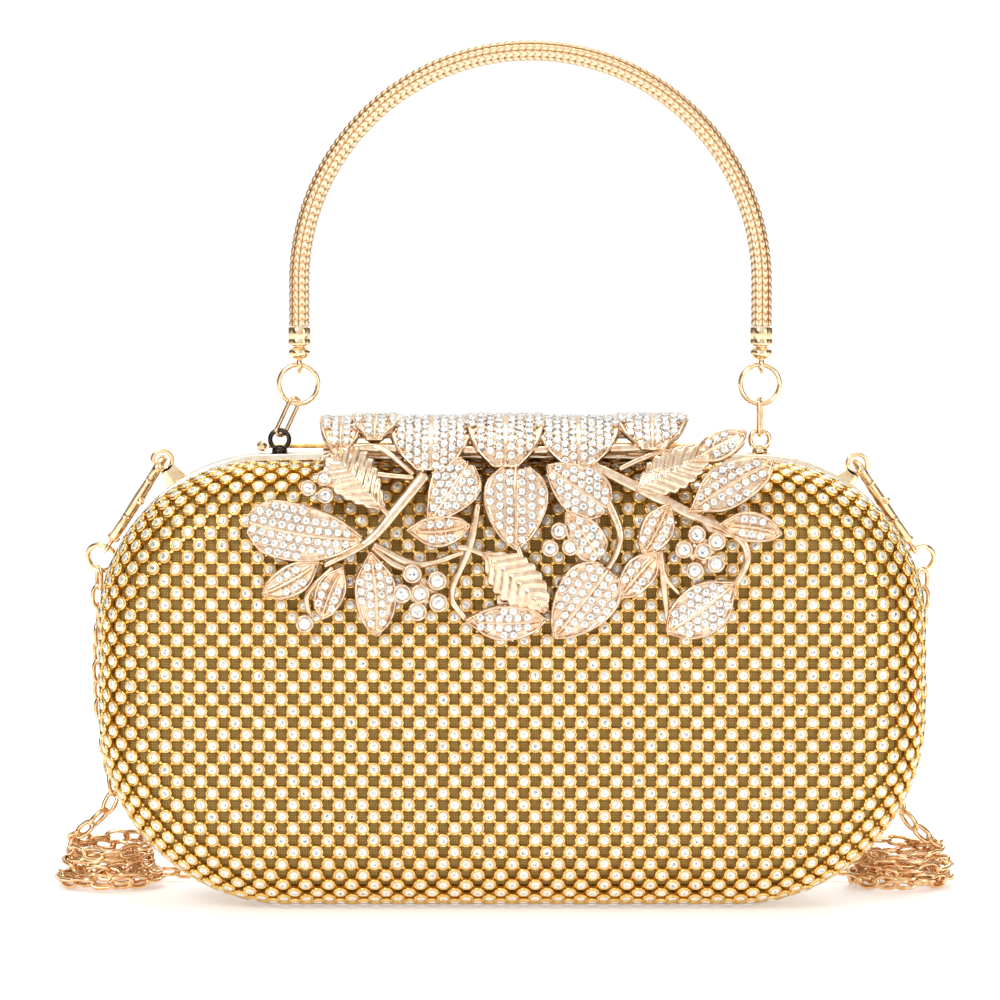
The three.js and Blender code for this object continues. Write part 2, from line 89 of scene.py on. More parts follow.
# Signed volume of a closed shape: the sum of each triangle's tetrahedron to the origin.
def signedVolume(points, faces):
    total = 0
    for group in faces:
        for k in range(1, group.shape[1] - 1):
            a, b, c = points[group[:, 0]], points[group[:, k]], points[group[:, k + 1]]
            total += np.einsum("ij,ij->i", a, np.cross(b, c)).sum() / 6
    return total


# Flips the faces of a closed shape if they point inwards.
def facingOut(points, faces):
    return [g[:, ::-1] for g in faces] if signedVolume(points, faces) < 0 else faces


# Index grid of quads over rows x cols points, wrapped round where asked.
def gridFaces(rows, cols, wrapRows=False, wrapCols=True):
    i, j = np.meshgrid(np.arange(rows if wrapRows else rows - 1),
                       np.arange(cols if wrapCols else cols - 1), indexing="ij")
    a, b = i * cols + j, i * cols + (j + 1) % cols
    c, d = ((i + 1) % rows) * cols + (j + 1) % cols, ((i + 1) % rows) * cols + j
    return np.stack([a, b, c, d], -1).reshape(-1, 4)


# Puts points in metres and groups of equal-sided faces into a mesh object at the origin; tone gives
# each face a number that its material may read.
def makeMesh(name, points, faces, material, smooth=True, tone=None):
    mesh = bpy.data.meshes.new(name)
    sizes = np.concatenate([np.full(len(g), g.shape[1]) for g in faces])
    corners = np.concatenate([np.asarray(g).ravel() for g in faces])
    mesh.vertices.add(len(points))
    mesh.vertices.foreach_set("co", np.asarray(points, np.float32).ravel())
    mesh.loops.add(len(corners))
    mesh.loops.foreach_set("vertex_index", corners.astype(np.int32))
    mesh.polygons.add(len(sizes))
    starts = np.concatenate([[0], np.cumsum(sizes)[:-1]])
    mesh.polygons.foreach_set("loop_start", starts.astype(np.int32))
    mesh.polygons.foreach_set("loop_total", sizes.astype(np.int32))
    mesh.polygons.foreach_set("use_smooth", np.full(len(sizes), smooth))
    mesh.materials.append(material)
    if tone is not None:
        layer = mesh.attributes.new("tone", "FLOAT", "FACE")
        layer.data.foreach_set("value", np.asarray(tone, np.float32))
    mesh.update(calc_edges=True)
    mesh.validate()
    piece = bpy.data.objects.new(name, mesh)
    bpy.context.scene.collection.objects.link(piece)
    return piece


# Points in millimetres from the parting plane between the two halves, x to the right, y to the rear,
# z up, as points in the frame: times a millimetre, plus the plane's own y.
def inFrame(points):
    return np.asarray(points, float) * mm + np.array([0, partingY, 0])


# Makes a piece from a shape in millimetres, rides it on its body, and hides the CAD nodes that it stands for.
# The slot is not used.
def addPiece(name, shape, material, body, slot, *nodes, **more):
    points, faces = shape
    piece = makeMesh(name, inFrame(points), faces, material, **more)
    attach(piece, body)
    if nodes:
        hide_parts(*nodes)
    return piece


# Joins shapes, each (points, faces), into one.
def joinShapes(shapes):
    points, groups, start = [], [], 0
    for shapePoints, shapeFaces in shapes:
        points.append(shapePoints)
        groups += [np.asarray(g) + start for g in shapeFaces]
        start += len(shapePoints)
    return np.concatenate(points), groups


# Copies a template to many places: point = origin + frame axes times the template's x, y, z times size.
def scatter(points, faces, origins, axes, sizes=None):
    sizes = np.ones(len(origins)) if sizes is None else sizes
    placed = np.einsum("nij,mj->nmi", axes, points) * sizes[:, None, None] + origins[:, None]
    shift = (np.arange(len(origins)) * len(points))[:, None, None]
    groups = [(g[None] + shift).reshape(-1, g.shape[1]) for g in faces]
    return placed.reshape(-1, 3), groups


# Vectors divided by their own length.
def unit(v):
    return v / np.maximum(np.linalg.norm(v, axis=-1, keepdims=True), 1e-12)


# Catmull-Rom curve through the points: a cubic between each pair, spaced by the given count.
def smoothLine(points, perSpan=12, closed=False):
    p = np.asarray(points, float)
    if closed:
        p = np.concatenate([p[-1:], p, p[:2]])
    else:
        p = np.concatenate([2 * p[:1] - p[1:2], p, 2 * p[-1:] - p[-2:-1]])
    t = np.linspace(0, 1, perSpan, endpoint=False)[None, :, None]
    a, b, c, d = (p[i:len(p) - 3 + i, None] for i in range(4))
    line = 0.5 * (2 * b + (c - a) * t + (2 * a - 5 * b + 4 * c - d) * t**2
                  + (3 * b - a - 3 * c + d) * t**3)
    line = line.reshape(-1, p.shape[1])
    return line if closed else np.concatenate([line, p[-2:-1]])


# Distance along a line at each of its points.
def distances(line):
    return np.concatenate([[0], np.cumsum(np.linalg.norm(np.diff(line, axis=0), axis=1))])


# The line again, with its points at even spacing.
def evenLine(line, count):
    along = distances(line)
    at = np.linspace(0, along[-1], count)
    return np.stack([np.interp(at, along, line[:, k]) for k in range(line.shape[1])], 1)


# A section carried along a path: point = path + side * x + up * y, with the section scaled by grow.
# The side axis is square to the path and to the reference direction.
def sweep(path, section, reference, closed=False, grow=None):
    path = np.asarray(path, float)
    if closed:
        along = np.roll(path, -1, 0) - np.roll(path, 1, 0)
    else:
        along = np.gradient(path, axis=0)
    along = unit(along)
    side = unit(np.cross(along, np.broadcast_to(reference, path.shape)))
    up = np.cross(side, along)
    grow = np.ones(len(path)) if grow is None else np.asarray(grow)
    flat = section[None] * grow[:, None, None]
    points = path[:, None] + side[:, None] * flat[..., :1] + up[:, None] * flat[..., 1:2]
    count = len(section)
    faces = [gridFaces(len(path), count, wrapRows=closed)]
    points = points.reshape(-1, 3)
    if not closed:
        last = (len(path) - 1) * count
        ends = np.stack([np.arange(count)[::-1], last + np.arange(count)])
        faces.append(ends)
    return points, facingOut(points, faces)


# A circle's x, y points: the radius times the cosine and sine of evenly spaced angles.
def circle(radius, sides):
    angle = np.arange(sides) / sides * 2 * pi
    return np.stack([radius * np.cos(angle), radius * np.sin(angle)], 1)


# A closed round ring of round wire: a circle of wire centres carried round the axis.
def ringShape(centre, radius, wire, axis, around=40, sides=12):
    axis = unit(np.asarray(axis, float))
    first = unit(np.cross(axis, (0.3, 0.5, 0.81)))
    second = np.cross(axis, first)
    angle = (np.arange(around) / around * 2 * pi)[:, None]
    path = np.asarray(centre) + radius * (np.cos(angle) * first + np.sin(angle) * second)
    return sweep(path, circle(wire, sides), axis, closed=True)


# A profile of (radius, height) pairs turned about an axis, closed at both ends on the axis.
def turned(profile, base, axis, sides=32):
    axis = unit(np.asarray(axis, float))
    first = unit(np.cross(axis, (0.31, 0.52, 0.79)))
    second = np.cross(axis, first)
    profile = np.asarray(profile, float)
    angle = np.arange(sides) / sides * 2 * pi
    outward = np.cos(angle)[:, None] * first + np.sin(angle)[:, None] * second
    rows = profile[1:-1]
    points = rows[:, None, None, 0] * outward[None] + rows[:, None, None, 1] * axis
    points = points.reshape(-1, 3)
    ends = profile[[0, -1], 1][:, None] * axis
    points = np.concatenate([points, ends]) + np.asarray(base)
    low, high = len(points) - 2, len(points) - 1
    j = np.arange(sides)
    k = (j + 1) % sides
    last = (len(rows) - 1) * sides
    caps = np.concatenate([np.stack([np.full(sides, low), k, j], 1),
                           np.stack([np.full(sides, high), last + j, last + k], 1)])
    return points, facingOut(points, [gridFaces(len(rows), sides), caps])


# The plane where the halves meet, and the halves' shape in millimetres: half width and top of the
# straight outline, the top line's arch, the corner radii, how far the rounded edge reaches in from the
# outline and out from the parting plane, where it starts, and its superellipse power.
partingY = (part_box("front_frame")[1].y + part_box("rear_frame")[0].y) / 2
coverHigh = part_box("front_mesh_cover")[1]
bodyShape = {
    "half": round(coverHigh.x / mm, 1), "top": round(coverHigh.z / mm - 0.8, 1), "arch": 0.8,
    "topCorner": 43.0, "bottomCorner": 50.0, "edge": 24.0, "deep": 28.0, "rim": 4.3, "power": 2.6,
}

cameraSettings = {"distance": 1.25, "elevation": 4.0, "viewAcross": 0.2628, "aim": (-0.0032, 0.0, 0.1064)}


# A long lens aimed straight at the front from a little above: its focal length is the sensor width
# times the distance over the width in view.
def makeCamera(s):
    lens = bpy.data.cameras.new("camera")
    lens.sensor_width = 36
    lens.lens = lens.sensor_width * s["distance"] / s["viewAcross"]
    lens.clip_start, lens.clip_end = 0.05, 20
    camera = bpy.data.objects.new("camera", lens)
    bpy.context.scene.collection.objects.link(camera)
    lift = radians(s["elevation"])
    camera.location = Vector(s["aim"]) + s["distance"] * Vector((0, -cos(lift), sin(lift)))
    camera.rotation_euler = (pi / 2 - lift, 0, 0)
    bpy.context.scene.camera = camera


makeCamera(cameraSettings)


# Slightly uneven polish on metal: noise at a real size moves the roughness between two values. Gives
# the object coordinates and the noise.
def addDrift(tree, shader, low, high, size):
    where = addNode(tree, "TexCoord").outputs["Object"]
    noise = addNode(tree, "TexNoise", inputs={"Vector": where, "Scale": 1 / size, "Detail": 3.0})
    rough = addNode(tree, "MapRange", inputs={"Value": noise.outputs["Fac"], "To Min": low, "To Max": high})
    setInputs(tree, shader, {"Roughness": rough.outputs["Result"]})
    return where, noise.outputs["Fac"]


# Electroplated gold over stamped brass: bright and warm, with patches 1.6 mm wide a little deeper in
# colour, and a faint ripple. Where tone stops are given, each face's tone gives the colour instead.
def platedMetal(name, colour, deep, rough=(0.14, 0.28), toneStops=()):
    material, tree, shader = newMaterial(name, colour, Metallic=1.0)
    where, patches = addDrift(tree, shader, *rough, size=1.6 * mm)
    if toneStops:
        patches = addNode(tree, "Attribute", {"attribute_name": "tone"}).outputs["Fac"]
    stops = toneStops or [(0.3, deep), (0.62, colour)]
    ramp = addNode(tree, "ValToRGB", inputs={"Fac": patches}, stops=stops)
    fine = addNode(tree, "TexNoise", inputs={"Vector": where, "Scale": 1 / (0.5 * mm)})
    bump = addNode(tree, "Bump", inputs={
        "Strength": 0.08, "Distance": 0.05 * mm, "Height": fine.outputs["Fac"]})
    setInputs(tree, shader, {"Base Color": ramp.outputs["Color"], "Normal": bump.outputs["Normal"]})
    return material


# Foiled lead crystal with painted reflections: each facet gets its own tone, from grey-blue to near white,
# for the part of the room it would mirror.
def foiledCrystal(name):
    material, tree, shader = newMaterial(
        name, "#F6F7FA", Metallic=0.35, Roughness=0.06, IOR=1.56, Coat_Weight=0.6, Coat_Roughness=0.02)
    tone = addNode(tree, "Attribute", {"attribute_name": "tone"}).outputs["Fac"]
    ramp = addNode(tree, "ValToRGB", inputs={"Fac": tone}, stops=[
        (0.0, "#5C6B80"), (0.12, "#A9B2BE"), (0.26, "#E6E4DE"), (0.6, "#FBF9F4"), (0.92, "#FFF3DE")])
    setInputs(tree, shader, {"Base Color": ramp.outputs["Color"]})
    return material


# A wave texture's scale for threads at a real spacing, as its bands repeat every pi / 10 units.
def threadScale(spacing):
    return 1 / spacing / 20 * pi


# Metallic-thread backing cloth: a plain weave of 0.35 mm threads, dull olive gold with 5 mm patches.
def threadCloth(name):
    material, tree, shader = newMaterial(name, "#86703A", Roughness=0.62, Metallic=0.25)
    where = addNode(tree, "TexCoord").outputs["Object"]
    waves = [addNode(tree, "TexWave", {"bands_direction": direction}, {
        "Vector": where, "Scale": threadScale(0.35 * mm), "Distortion": 0.4}).outputs["Fac"]
        for direction in ("X", "Z")]
    weave = addNode(tree, "Math", {"operation": "MAXIMUM"}, {0: waves[0], 1: waves[1]}).outputs["Value"]
    drift = addNode(tree, "TexNoise", inputs={"Vector": where, "Scale": 1 / (5 * mm)}).outputs["Fac"]
    shade = addNode(tree, "Math", {"operation": "MULTIPLY_ADD"}, {0: drift, 1: 0.5, 2: weave})
    ramp = addNode(tree, "ValToRGB", inputs={"Fac": shade.outputs["Value"]}, stops=[
        (0.35, "#6B4A12"), (0.8, "#907030"), (1.0, "#AD8E4A")])
    bump = addNode(tree, "Bump", inputs={"Strength": 0.5, "Distance": 0.12 * mm, "Height": weave})
    setInputs(tree, shader, {"Base Color": ramp.outputs["Color"], "Normal": bump.outputs["Normal"]})
    return material


# Satin-weave polyester: a soft directional sheen from fine floats, 0.3 mm apart, that run one way.
def satin(name):
    material, tree, shader = newMaterial(
        name, "#D9C39A", Roughness=0.42, Sheen_Weight=0.5, Sheen_Roughness=0.4, Anisotropic=0.4)
    where = addNode(tree, "TexCoord").outputs["Object"]
    floats = addNode(tree, "TexWave", {"bands_direction": "Z"}, {
        "Vector": where, "Scale": threadScale(0.3 * mm), "Distortion": 1.2, "Detail": 2.0})
    # painted shade and sheen: the colour goes lighter and darker in patches about 17 mm wide, standing in for
    # creases
    creaseShadeNoise = addNode(tree, "TexNoise", inputs={"Vector": where, "Scale": 60.0})  # about 17 mm wide
    ramp = addNode(tree, "ValToRGB", inputs={"Fac": creaseShadeNoise.outputs["Fac"]}, stops=[
        (0.3, "#D3BE94"), (0.7, "#E2CFA8")])
    bump = addNode(tree, "Bump", inputs={
        "Strength": 0.25, "Distance": 0.05 * mm, "Height": floats.outputs["Fac"]})
    setInputs(tree, shader, {"Base Color": ramp.outputs["Color"], "Normal": bump.outputs["Normal"]})
    return material


# Injection-moulded ABS: matt grey with a light spark-eroded grain of 0.4 mm.
def mouldedAbs(name):
    material, tree, shader = newMaterial(name, "#B9B4AA", Roughness=0.5, IOR=1.54)
    where = addNode(tree, "TexCoord").outputs["Object"]
    grain = addNode(tree, "TexNoise", inputs={"Vector": where, "Scale": 1 / (0.4 * mm), "Detail": 2.0})
    bump = addNode(tree, "Bump", inputs={
        "Strength": 0.2, "Distance": 0.05 * mm, "Height": grain.outputs["Fac"]})
    setInputs(tree, shader, {"Normal": bump.outputs["Normal"]})
    return material


# Bright-drawn steel: neutral grey, its polish uneven over 0.8 mm.
def drawnSteel(name):
    material, tree, shader = newMaterial(name, "#9C9C9C", Metallic=1.0, Roughness=0.3)
    addDrift(tree, shader, 0.22, 0.4, 0.8 * mm)
    return material


yellowGold = platedMetal("yellowGoldPlatedBrass", "#FCD98D", "#E8B357")
paleGold = platedMetal("paleGoldPlatedZinc", "#FBE3BE", "#EFC793", (0.06, 0.18))
roseGold = platedMetal("roseGoldCastAlloy", "#F6DEC4", "#E2BC97", (0.16, 0.3))
# painted highlight: the hoop's gold plate is lifted almost to white so that its band reads as a white
# highlight
hoopGold = platedMetal("goldPlatedBrassBandPaintedHighlight", "#FFF3E0", "#F6E0BF", (0.05, 0.14))
chainGold = platedMetal("goldPlatedSteelChain", "#F8D9B0", "#DFA566", (0.12, 0.26))
# on the knit, painted shade: the grooves between stitches are browner and the raised stitches paler, by each
# face's stitch height
knitGold = platedMetal("goldPlatedKnittedBrassWire", "#F9E5C9", "#ECCBA0", (0.42, 0.55),
                       [(0.04, "#A87440"), (0.35, "#E6C190"), (0.75, "#FBEAD0")])
# painted shade: the left lug's metal is dark because that lug lies in shade; the right lug is pale gold
shadedLugMetal = platedMetal("lugMetalPaintedShade", "#5A5048", "#2A2522", (0.12, 0.2))
crystal = foiledCrystal("foiledLeadCrystal")
backingCloth = threadCloth("wovenMetallicThreadCloth")
satinCloth = satin("satinWeavePolyester")
shellPlastic = mouldedAbs("injectionMouldedAbs")
steel = drawnSteel("drawnSteel")
print("materials made")

# shoulder chain: one free cord of oval links, each measure in millimetres
chainSettings = {
    "diameter": 4.4, "linkLong": 7.2, "linkWide": 4.4, "wire": 0.6, "pitch": 5.1, "pointsPerTurn": 18,
    "routePoints": 900, "easing": 15, "swing": 0.75,  # swing: each link's own turn either way, radians
    "leftFall": [(-110.4, 15.8, 86.6), (-110.8, 17.6, 70), (-110.4, 18.8, 52), (-109.2, 19.0, 38),
                 (-107.6, 17.8, 30), (-106.2, 16.2, 24.5)],
    "rightFall": [(109.6, 15.8, 86.2), (110.0, 17.6, 70), (109.4, 18.8, 50), (107.8, 18.8, 36),
                  (105.4, 17.6, 28), (103.4, 16.2, 22.5)],
    "rearRun": [(-88.6, 32.6, 2.4), (-60, 34.5, 2.3), (-20, 33.5, 2.3), (25, 34.8, 2.3),
                (60, 33.6, 2.3), (84.6, 32.6, 2.4)],
    # each heap's centre, the angle at its top, how far its turns add to whole ones, way round, height
    "leftHeap": ((-108.4, 22.8), 1.5 * pi, 0.8 * pi, -1, 1.0),
    "rightHeap": ((104.6, 23.0), 1.5 * pi, 0.8 * pi, 1, 0.86),
    # each turn of a heap from the top down: half length along x, half depth along y, height
    "turnShapes": [(10.4, 10.2, 13.4), (11.4, 10.4, 10.8), (10.6, 10.2, 7.6), (12.8, 11.2, 6.6),
                   (10.8, 10.3, 3.6), (13.8, 11.7, 2.8), (13.6, 11.4, 2.4)],
}


# A loose heap as a winding from the top down: cosine and sine of a growing angle, times each turn's
# own half length and depth, about a centre that drifts by a few sines.
def heapLine(s, centre, fromAngle, extra, direction, squash):
    shapes = np.array(s["turnShapes"])
    count = len(shapes) * s["pointsPerTurn"]
    t = np.linspace(0, 1, count)
    turns = t * (len(shapes) - 1)
    across, deep, z = (np.interp(turns, np.arange(len(shapes)), shapes[:, k]) for k in range(3))
    angle = fromAngle + direction * (2 * pi * turns + extra * t)
    x = centre[0] + across * np.cos(angle) + 1.2 * np.sin(turns * 2.1 + 0.6) * np.sin(pi * t)
    y = centre[1] + deep * np.sin(angle) + 0.8 * np.cos(turns * 2.7) * np.sin(pi * t)
    # the first third of a turn comes down from the fall, and upper turns lie unevenly
    arrive = 4.5 * np.clip(1 - turns / 0.35, 0, 1)**2
    uneven = 1.0 * np.sin(angle * 1.5 + 1) * np.clip((z - 3) / 3, 0, 1)
    return np.stack([x, y, 2.3 + (z - 2.4) * squash + uneven + arrive], 1)


# The whole way of the chain: left fall, left heap, the run behind the bag, right heap, right fall,
# eased by a running weighted mean, as a chain can't turn sharply.
def chainRoute(s):
    left, right = heapLine(s, *s["leftHeap"]), heapLine(s, *s["rightHeap"])[::-1]
    points = np.concatenate([s["leftFall"], left[2:], s["rearRun"], right[:-2], s["rightFall"][::-1]])
    line = evenLine(smoothLine(points, 8), s["routePoints"])
    weights = np.hanning(s["easing"])[1:-1]
    ends = len(weights) // 2
    padded = np.pad(line, ((ends, ends), (0, 0)), mode="edge")
    eased = np.stack([np.convolve(padded[:, k], weights / weights.sum(), "valid") for k in range(3)], 1)
    eased[0], eased[-1] = line[0], line[-1]
    return evenLine(eased, s["routePoints"])


# Oval links along the route, each turned a quarter from the one before, plus a little swing; a
# link's line is a superellipse: half length and half width times a power of cosine and sine.
def makeChain(s):
    route = chainRoute(s)
    length = distances(route)[-1]
    count = int(length / s["pitch"])
    line = evenLine(route, count * 2 + 1)
    centres = line[1::2]
    along = unit(line[2::2] - line[:-1:2])
    steady = unit(np.cross(along, (0.13, 0.97, 0.21)))
    random = np.random.default_rng(7)
    turn = np.arange(count) % 2 * pi / 2 + pi / 4 + random.uniform(-s["swing"], s["swing"], count)
    side = steady * np.cos(turn)[:, None] + np.cross(along, steady) * np.sin(turn)[:, None]
    axes = np.stack([along, side, np.cross(along, side)], 2)
    angle = np.arange(20) / 20 * 2 * pi
    stadium = np.stack([(s["linkLong"] / 2 - s["wire"]) * np.sign(np.cos(angle)) * abs(np.cos(angle))**0.8,
                        (s["linkWide"] / 2 - s["wire"]) * np.sign(np.sin(angle)) * abs(np.sin(angle))**0.9,
                        angle * 0], 1)
    points, faces = sweep(stadium, circle(s["wire"], 8), (0, 0, 1), closed=True)
    points, faces = scatter(points, faces, centres, axes)
    chain = addPiece("shoulderChain", (points, faces), chainGold, "case_rear", "chain_metal",
                     "chain_fall_left", "chain_heap_left", "chain_rear_run", "chain_heap_right",
                     "chain_fall_right")
    print("chain: length", round(length / 1000, 3), "m,", count, "links")
    return chain, inFrame(route), length * mm


chain, chainPath, chainLength = makeChain(chainSettings)


# Half outline distances: for each x, z the way out (unit x, z) and how far it lies beyond the flat
# middle, which ends one edge reach inside a rounded rectangle.
def beyondMiddle(x, z, s=bodyShape):
    upper, lower = z > s["top"] - s["topCorner"], z < s["bottomCorner"]
    corner = np.where(upper, s["topCorner"], s["bottomCorner"])
    centreZ = np.where(upper, s["top"] - s["topCorner"], np.where(lower, s["bottomCorner"], z))
    qx = np.maximum(abs(x) - (s["half"] - corner), 0)
    qz = abs(z - centreZ)
    inCorner = (qx > 0) & (qz > 0)
    reach = np.hypot(qx, qz)
    along = np.where(inCorner | (upper | lower), reach, abs(x) - (s["half"] - corner))
    along = np.where(~inCorner & (upper | lower), qz, along)
    outX = np.where(inCorner, qx / np.maximum(reach, 1e-9), np.where(upper | lower, 0, 1)) * np.sign(x)
    outZ = np.where(inCorner, qz / np.maximum(reach, 1e-9), np.where(upper | lower, 1, 0))
    return outX, outZ * np.where(upper, 1, -1), along - (corner - s["edge"])


# The edge's superellipse, from the flat to the rim: the cosine of an angle, to 2 over the power, gives
# the reach out, and the sine the depth from the parting plane. The offset is taken off both.
def edgeCurve(offset, count, s=bodyShape):
    a = np.linspace(pi / 2, 0, count)
    out = (s["edge"] - offset) * np.cos(a) ** (2 / s["power"])
    depth = s["rim"] + (s["deep"] - offset - s["rim"]) * np.maximum(np.sin(a), 0) ** (2 / s["power"])
    return out, depth


# Points of a flat x, z pattern wrapped over the half: the part beyond the flat middle runs down the
# edge curve by its own length. Gives points, normals and which points are kept.
def wrapOver(x, z, side, offset, stopShort):
    outX, outZ, beyond = beyondMiddle(x, z)
    out, depth = edgeCurve(offset, 160)
    length = distances(np.stack([out, depth], 1))
    keep = beyond < length[-1] - stopShort
    t = np.clip(beyond, 0, length[-1])
    reach, deep = np.interp(t, length, out), np.interp(t, length, depth)
    slopeOut = np.interp(t, length, np.gradient(out, length))
    slopeDeep = np.interp(t, length, np.gradient(depth, length))
    over = np.maximum(beyond, 0)
    points = np.stack([x + outX * (reach - over), side * deep, z + outZ * (reach - over)], 1)
    flat = beyond <= 0
    normal = np.stack([outX * -slopeDeep, side * slopeOut, outZ * -slopeDeep], 1)
    normal[flat] = (0, side, 0)
    return points, unit(normal), keep


# The front outline moved inwards, as x, z pairs: four corner arcs, an arched top line and a straight
# bottom line.
def outlineLoop(inset, half=bodyShape["half"], top=bodyShape["top"], s=bodyShape):
    def arc(cx, cz, radius, start):
        angle = radians(start) + np.linspace(0, pi / 2, 24)
        return np.stack([cx + (radius - inset) * np.cos(angle), cz + (radius - inset) * np.sin(angle)], 1)
    low, high = s["bottomCorner"], s["topCorner"]
    lowX, highX = half - low, half - high
    x = highX * np.linspace(1, -1, 42)[1:-1]
    topLine = np.stack([x, top - inset + s["arch"] * (1 - (x / highX) ** 2)], 1)
    bottomLine = np.stack([np.linspace(-lowX, lowX, 60)[1:-1], np.full(58, inset)], 1)
    return np.concatenate([arc(lowX, low, low, -90), arc(highX, top - high, high, 0), topLine,
                           arc(-highX, top - high, high, 90), arc(-lowX, low, low, 180), bottomLine])


# A bulging half skin of the given thickness at an offset from the outside: outline loops at the
# edge curve's insets and depths, capped with a point in the middle of each face.
def dishShape(side, offset, thickness, rings=16, s=bodyShape):
    loops = []
    for o in (offset, offset + thickness):
        out, depth = edgeCurve(o, rings)
        layer = [np.insert(outlineLoop(s["edge"] - reach), 1, side * y, axis=1)
                 for reach, y in zip(out, depth)]
        loops += layer if o == offset else layer[::-1]
    count = len(loops[0])
    middles = [(0, side * (s["deep"] - o), s["top"] / 2) for o in (offset, offset + thickness)]
    points = np.concatenate(loops + [middles])
    j = np.arange(count)
    k = (j + 1) % count
    low, last = len(points) - 2, (len(loops) - 1) * count
    caps = np.concatenate([np.stack([np.full(count, low), k, j], 1),
                           np.stack([np.full(count, low + 1), last + j, last + k], 1)])
    return points, facingOut(points, [gridFaces(len(loops), count), caps])


# cup chain mesh: lattice steps, the first row's height, how far below the surface the cloth lies, how
# much of the edge stays free, the prongs' share of a step and half sizes, and the stone's four measures
meshSettings = {
    "pitchAcross": 5.98, "pitchDown": 3.06, "firstRow": 1.2, "backing": 1.75, "edgeFree": 1.3,
    "prong": (0.2, 0.8), "prongWide": 0.34, "prongHigh": 0.28, "stone": (1.42, 1.38, 0.64, 0.7),
    "cupProfile": [(1.46, 0.0), (1.93, 0.75), (1.91, 1.40), (1.62, 1.88), (1.34, 1.56)],
}


# A ring: a closed profile of radius and height turned once about z.
def ringTemplate(profile, sides):
    p = np.asarray(profile, float)
    angle = np.arange(sides) / sides * 2 * pi
    points = np.stack([p[:, None, 0] * np.cos(angle), p[:, None, 0] * np.sin(angle),
                       np.broadcast_to(p[:, None, 1], (len(p), sides))], -1).reshape(-1, 3)
    faces = [gridFaces(len(p), sides, wrapRows=True)]
    return points, facingOut(points, faces)


# A faceted stone: rings of eight points, every other one turned half a step, for eight facets round a
# point, a table ring, a crown and a blunt underside.
def stoneTemplate(radius, base, crown, low):
    angle = np.arange(8) / 8 * 2 * pi
    rows = [(radius * 0.42, base + crown, 0.0), (radius * 0.74, base + crown * 0.86, pi / 8),
            (radius, base, 0.0), (radius * 0.85, low, pi / 8)]
    points = np.concatenate([np.stack([r * np.cos(angle + o), r * np.sin(angle + o), np.full(8, h)], 1)
                             for r, h, o in rows] + [[(0, 0, base + crown * 1.04)]])
    j = np.arange(8)
    k = (j + 1) % 8
    middle = np.stack([np.full(8, 32), j, k], 1)
    tableRing = np.concatenate([np.stack([j, 8 + j, k], 1), np.stack([k, 8 + j, 8 + k], 1)])
    crownFaces = np.concatenate([np.stack([8 + j, 16 + k, 8 + k], 1), np.stack([8 + j, 16 + j, 16 + k], 1)])
    under = np.concatenate([np.stack([16 + j, 24 + j, 16 + k], 1), np.stack([16 + k, 24 + j, 24 + k], 1)])
    bottom = (24 + j)[None, ::-1]
    return points, facingOut(points, [middle, tableRing, crownFaces, under, bottom])


# Three square axes at each normal: up crossed with it, the third, and the normal, with the first two
# turned about it.
def squareAxes(normal, turn=0.0):
    side = unit(np.cross(np.broadcast_to((0, 0, 1), normal.shape) + 1e-6, normal))
    other = np.cross(normal, side)
    c, s = np.cos(turn), np.sin(turn)
    if np.ndim(turn):
        c, s = c[:, None], s[:, None]
    return np.stack([side * c + other * s, other * c - side * s, normal], 2)


# Each face of each stone gets its own tone, a painted reflection of its own part of the room: the middle
# facets may be grey, the rest stay near white.
def facetTones(faces, seed, crown=(0.45, 1.0)):
    random = np.random.default_rng(seed)
    ranges = ((0.0, 0.55), (0.2, 1.0), crown, (0.2, 1.0), (0.2, 1.0)) * (len(faces) // 5)
    return np.concatenate([random.uniform(*ends, len(g)) for ends, g in zip(ranges, faces)])


# Cup chain mesh: set stones on a diamond lattice, wrapped over the half, with prongs, each a short
# bar to the lower left or lower right neighbour, over the cloth.
def makeCover(name, side, body, node, s):
    across, down = s["pitchAcross"], s["pitchDown"]
    column, row = np.meshgrid(np.arange(-24, 25), np.arange(-9, 52), indexing="ij")
    x = ((column + (row % 2) * 0.5) * across).ravel()
    z = (s["firstRow"] + row * down).ravel()
    points, normal, keep = wrapOver(x, z, side, s["backing"], s["edgeFree"])
    points, normal = points[keep], normal[keep]
    random = np.random.default_rng(3 + side)
    turn = random.uniform(0, pi / 4, len(points))
    tilt = unit(normal + random.normal(0, 0.025, normal.shape))
    cups = scatter(*ringTemplate(s["cupProfile"], 10), points, squareAxes(tilt))
    addPiece(name + "Cups", cups, yellowGold, body, "rhinestone_mesh")
    stones = scatter(*stoneTemplate(*s["stone"]), points, squareAxes(tilt, turn))
    addPiece(name + "Stones", stones, crystal, body, "rhinestone_mesh", smooth=False,
             tone=facetTones(stones[1], 5 + side))
    box = np.array([(i, j, k) for i in (-1, 1) for j in (-1, 1) for k in (-1, 1)], float)
    quads = np.array([(0, 1, 3, 2), (4, 6, 7, 5), (0, 4, 5, 1), (2, 3, 7, 6), (0, 2, 6, 4), (1, 5, 7, 3)])
    bars = []
    for step in (-0.5, 0.5):
        near, far = (wrapOver(x + k * step * across, z - k * down, side, s["backing"] - 0.35, 1.0)
                     for k in s["prong"])
        both = near[2] & far[2]
        a, b, n = near[0][both], far[0][both], near[1][both]
        long = b - a
        axes = np.stack([long / 2, unit(np.cross(n, long)) * s["prongWide"], n * s["prongHigh"]], 2)
        bars.append(scatter(box, facingOut(box, [quads]), (a + b) / 2, axes))
    addPiece(name + "Prongs", joinShapes(bars), yellowGold, body, "rhinestone_mesh", smooth=False)
    addPiece(name + "Backing", dishShape(side, s["backing"], 0.15), backingCloth, body,
             "rhinestone_mesh", node)
    print(name, "has", len(points), "set stones")


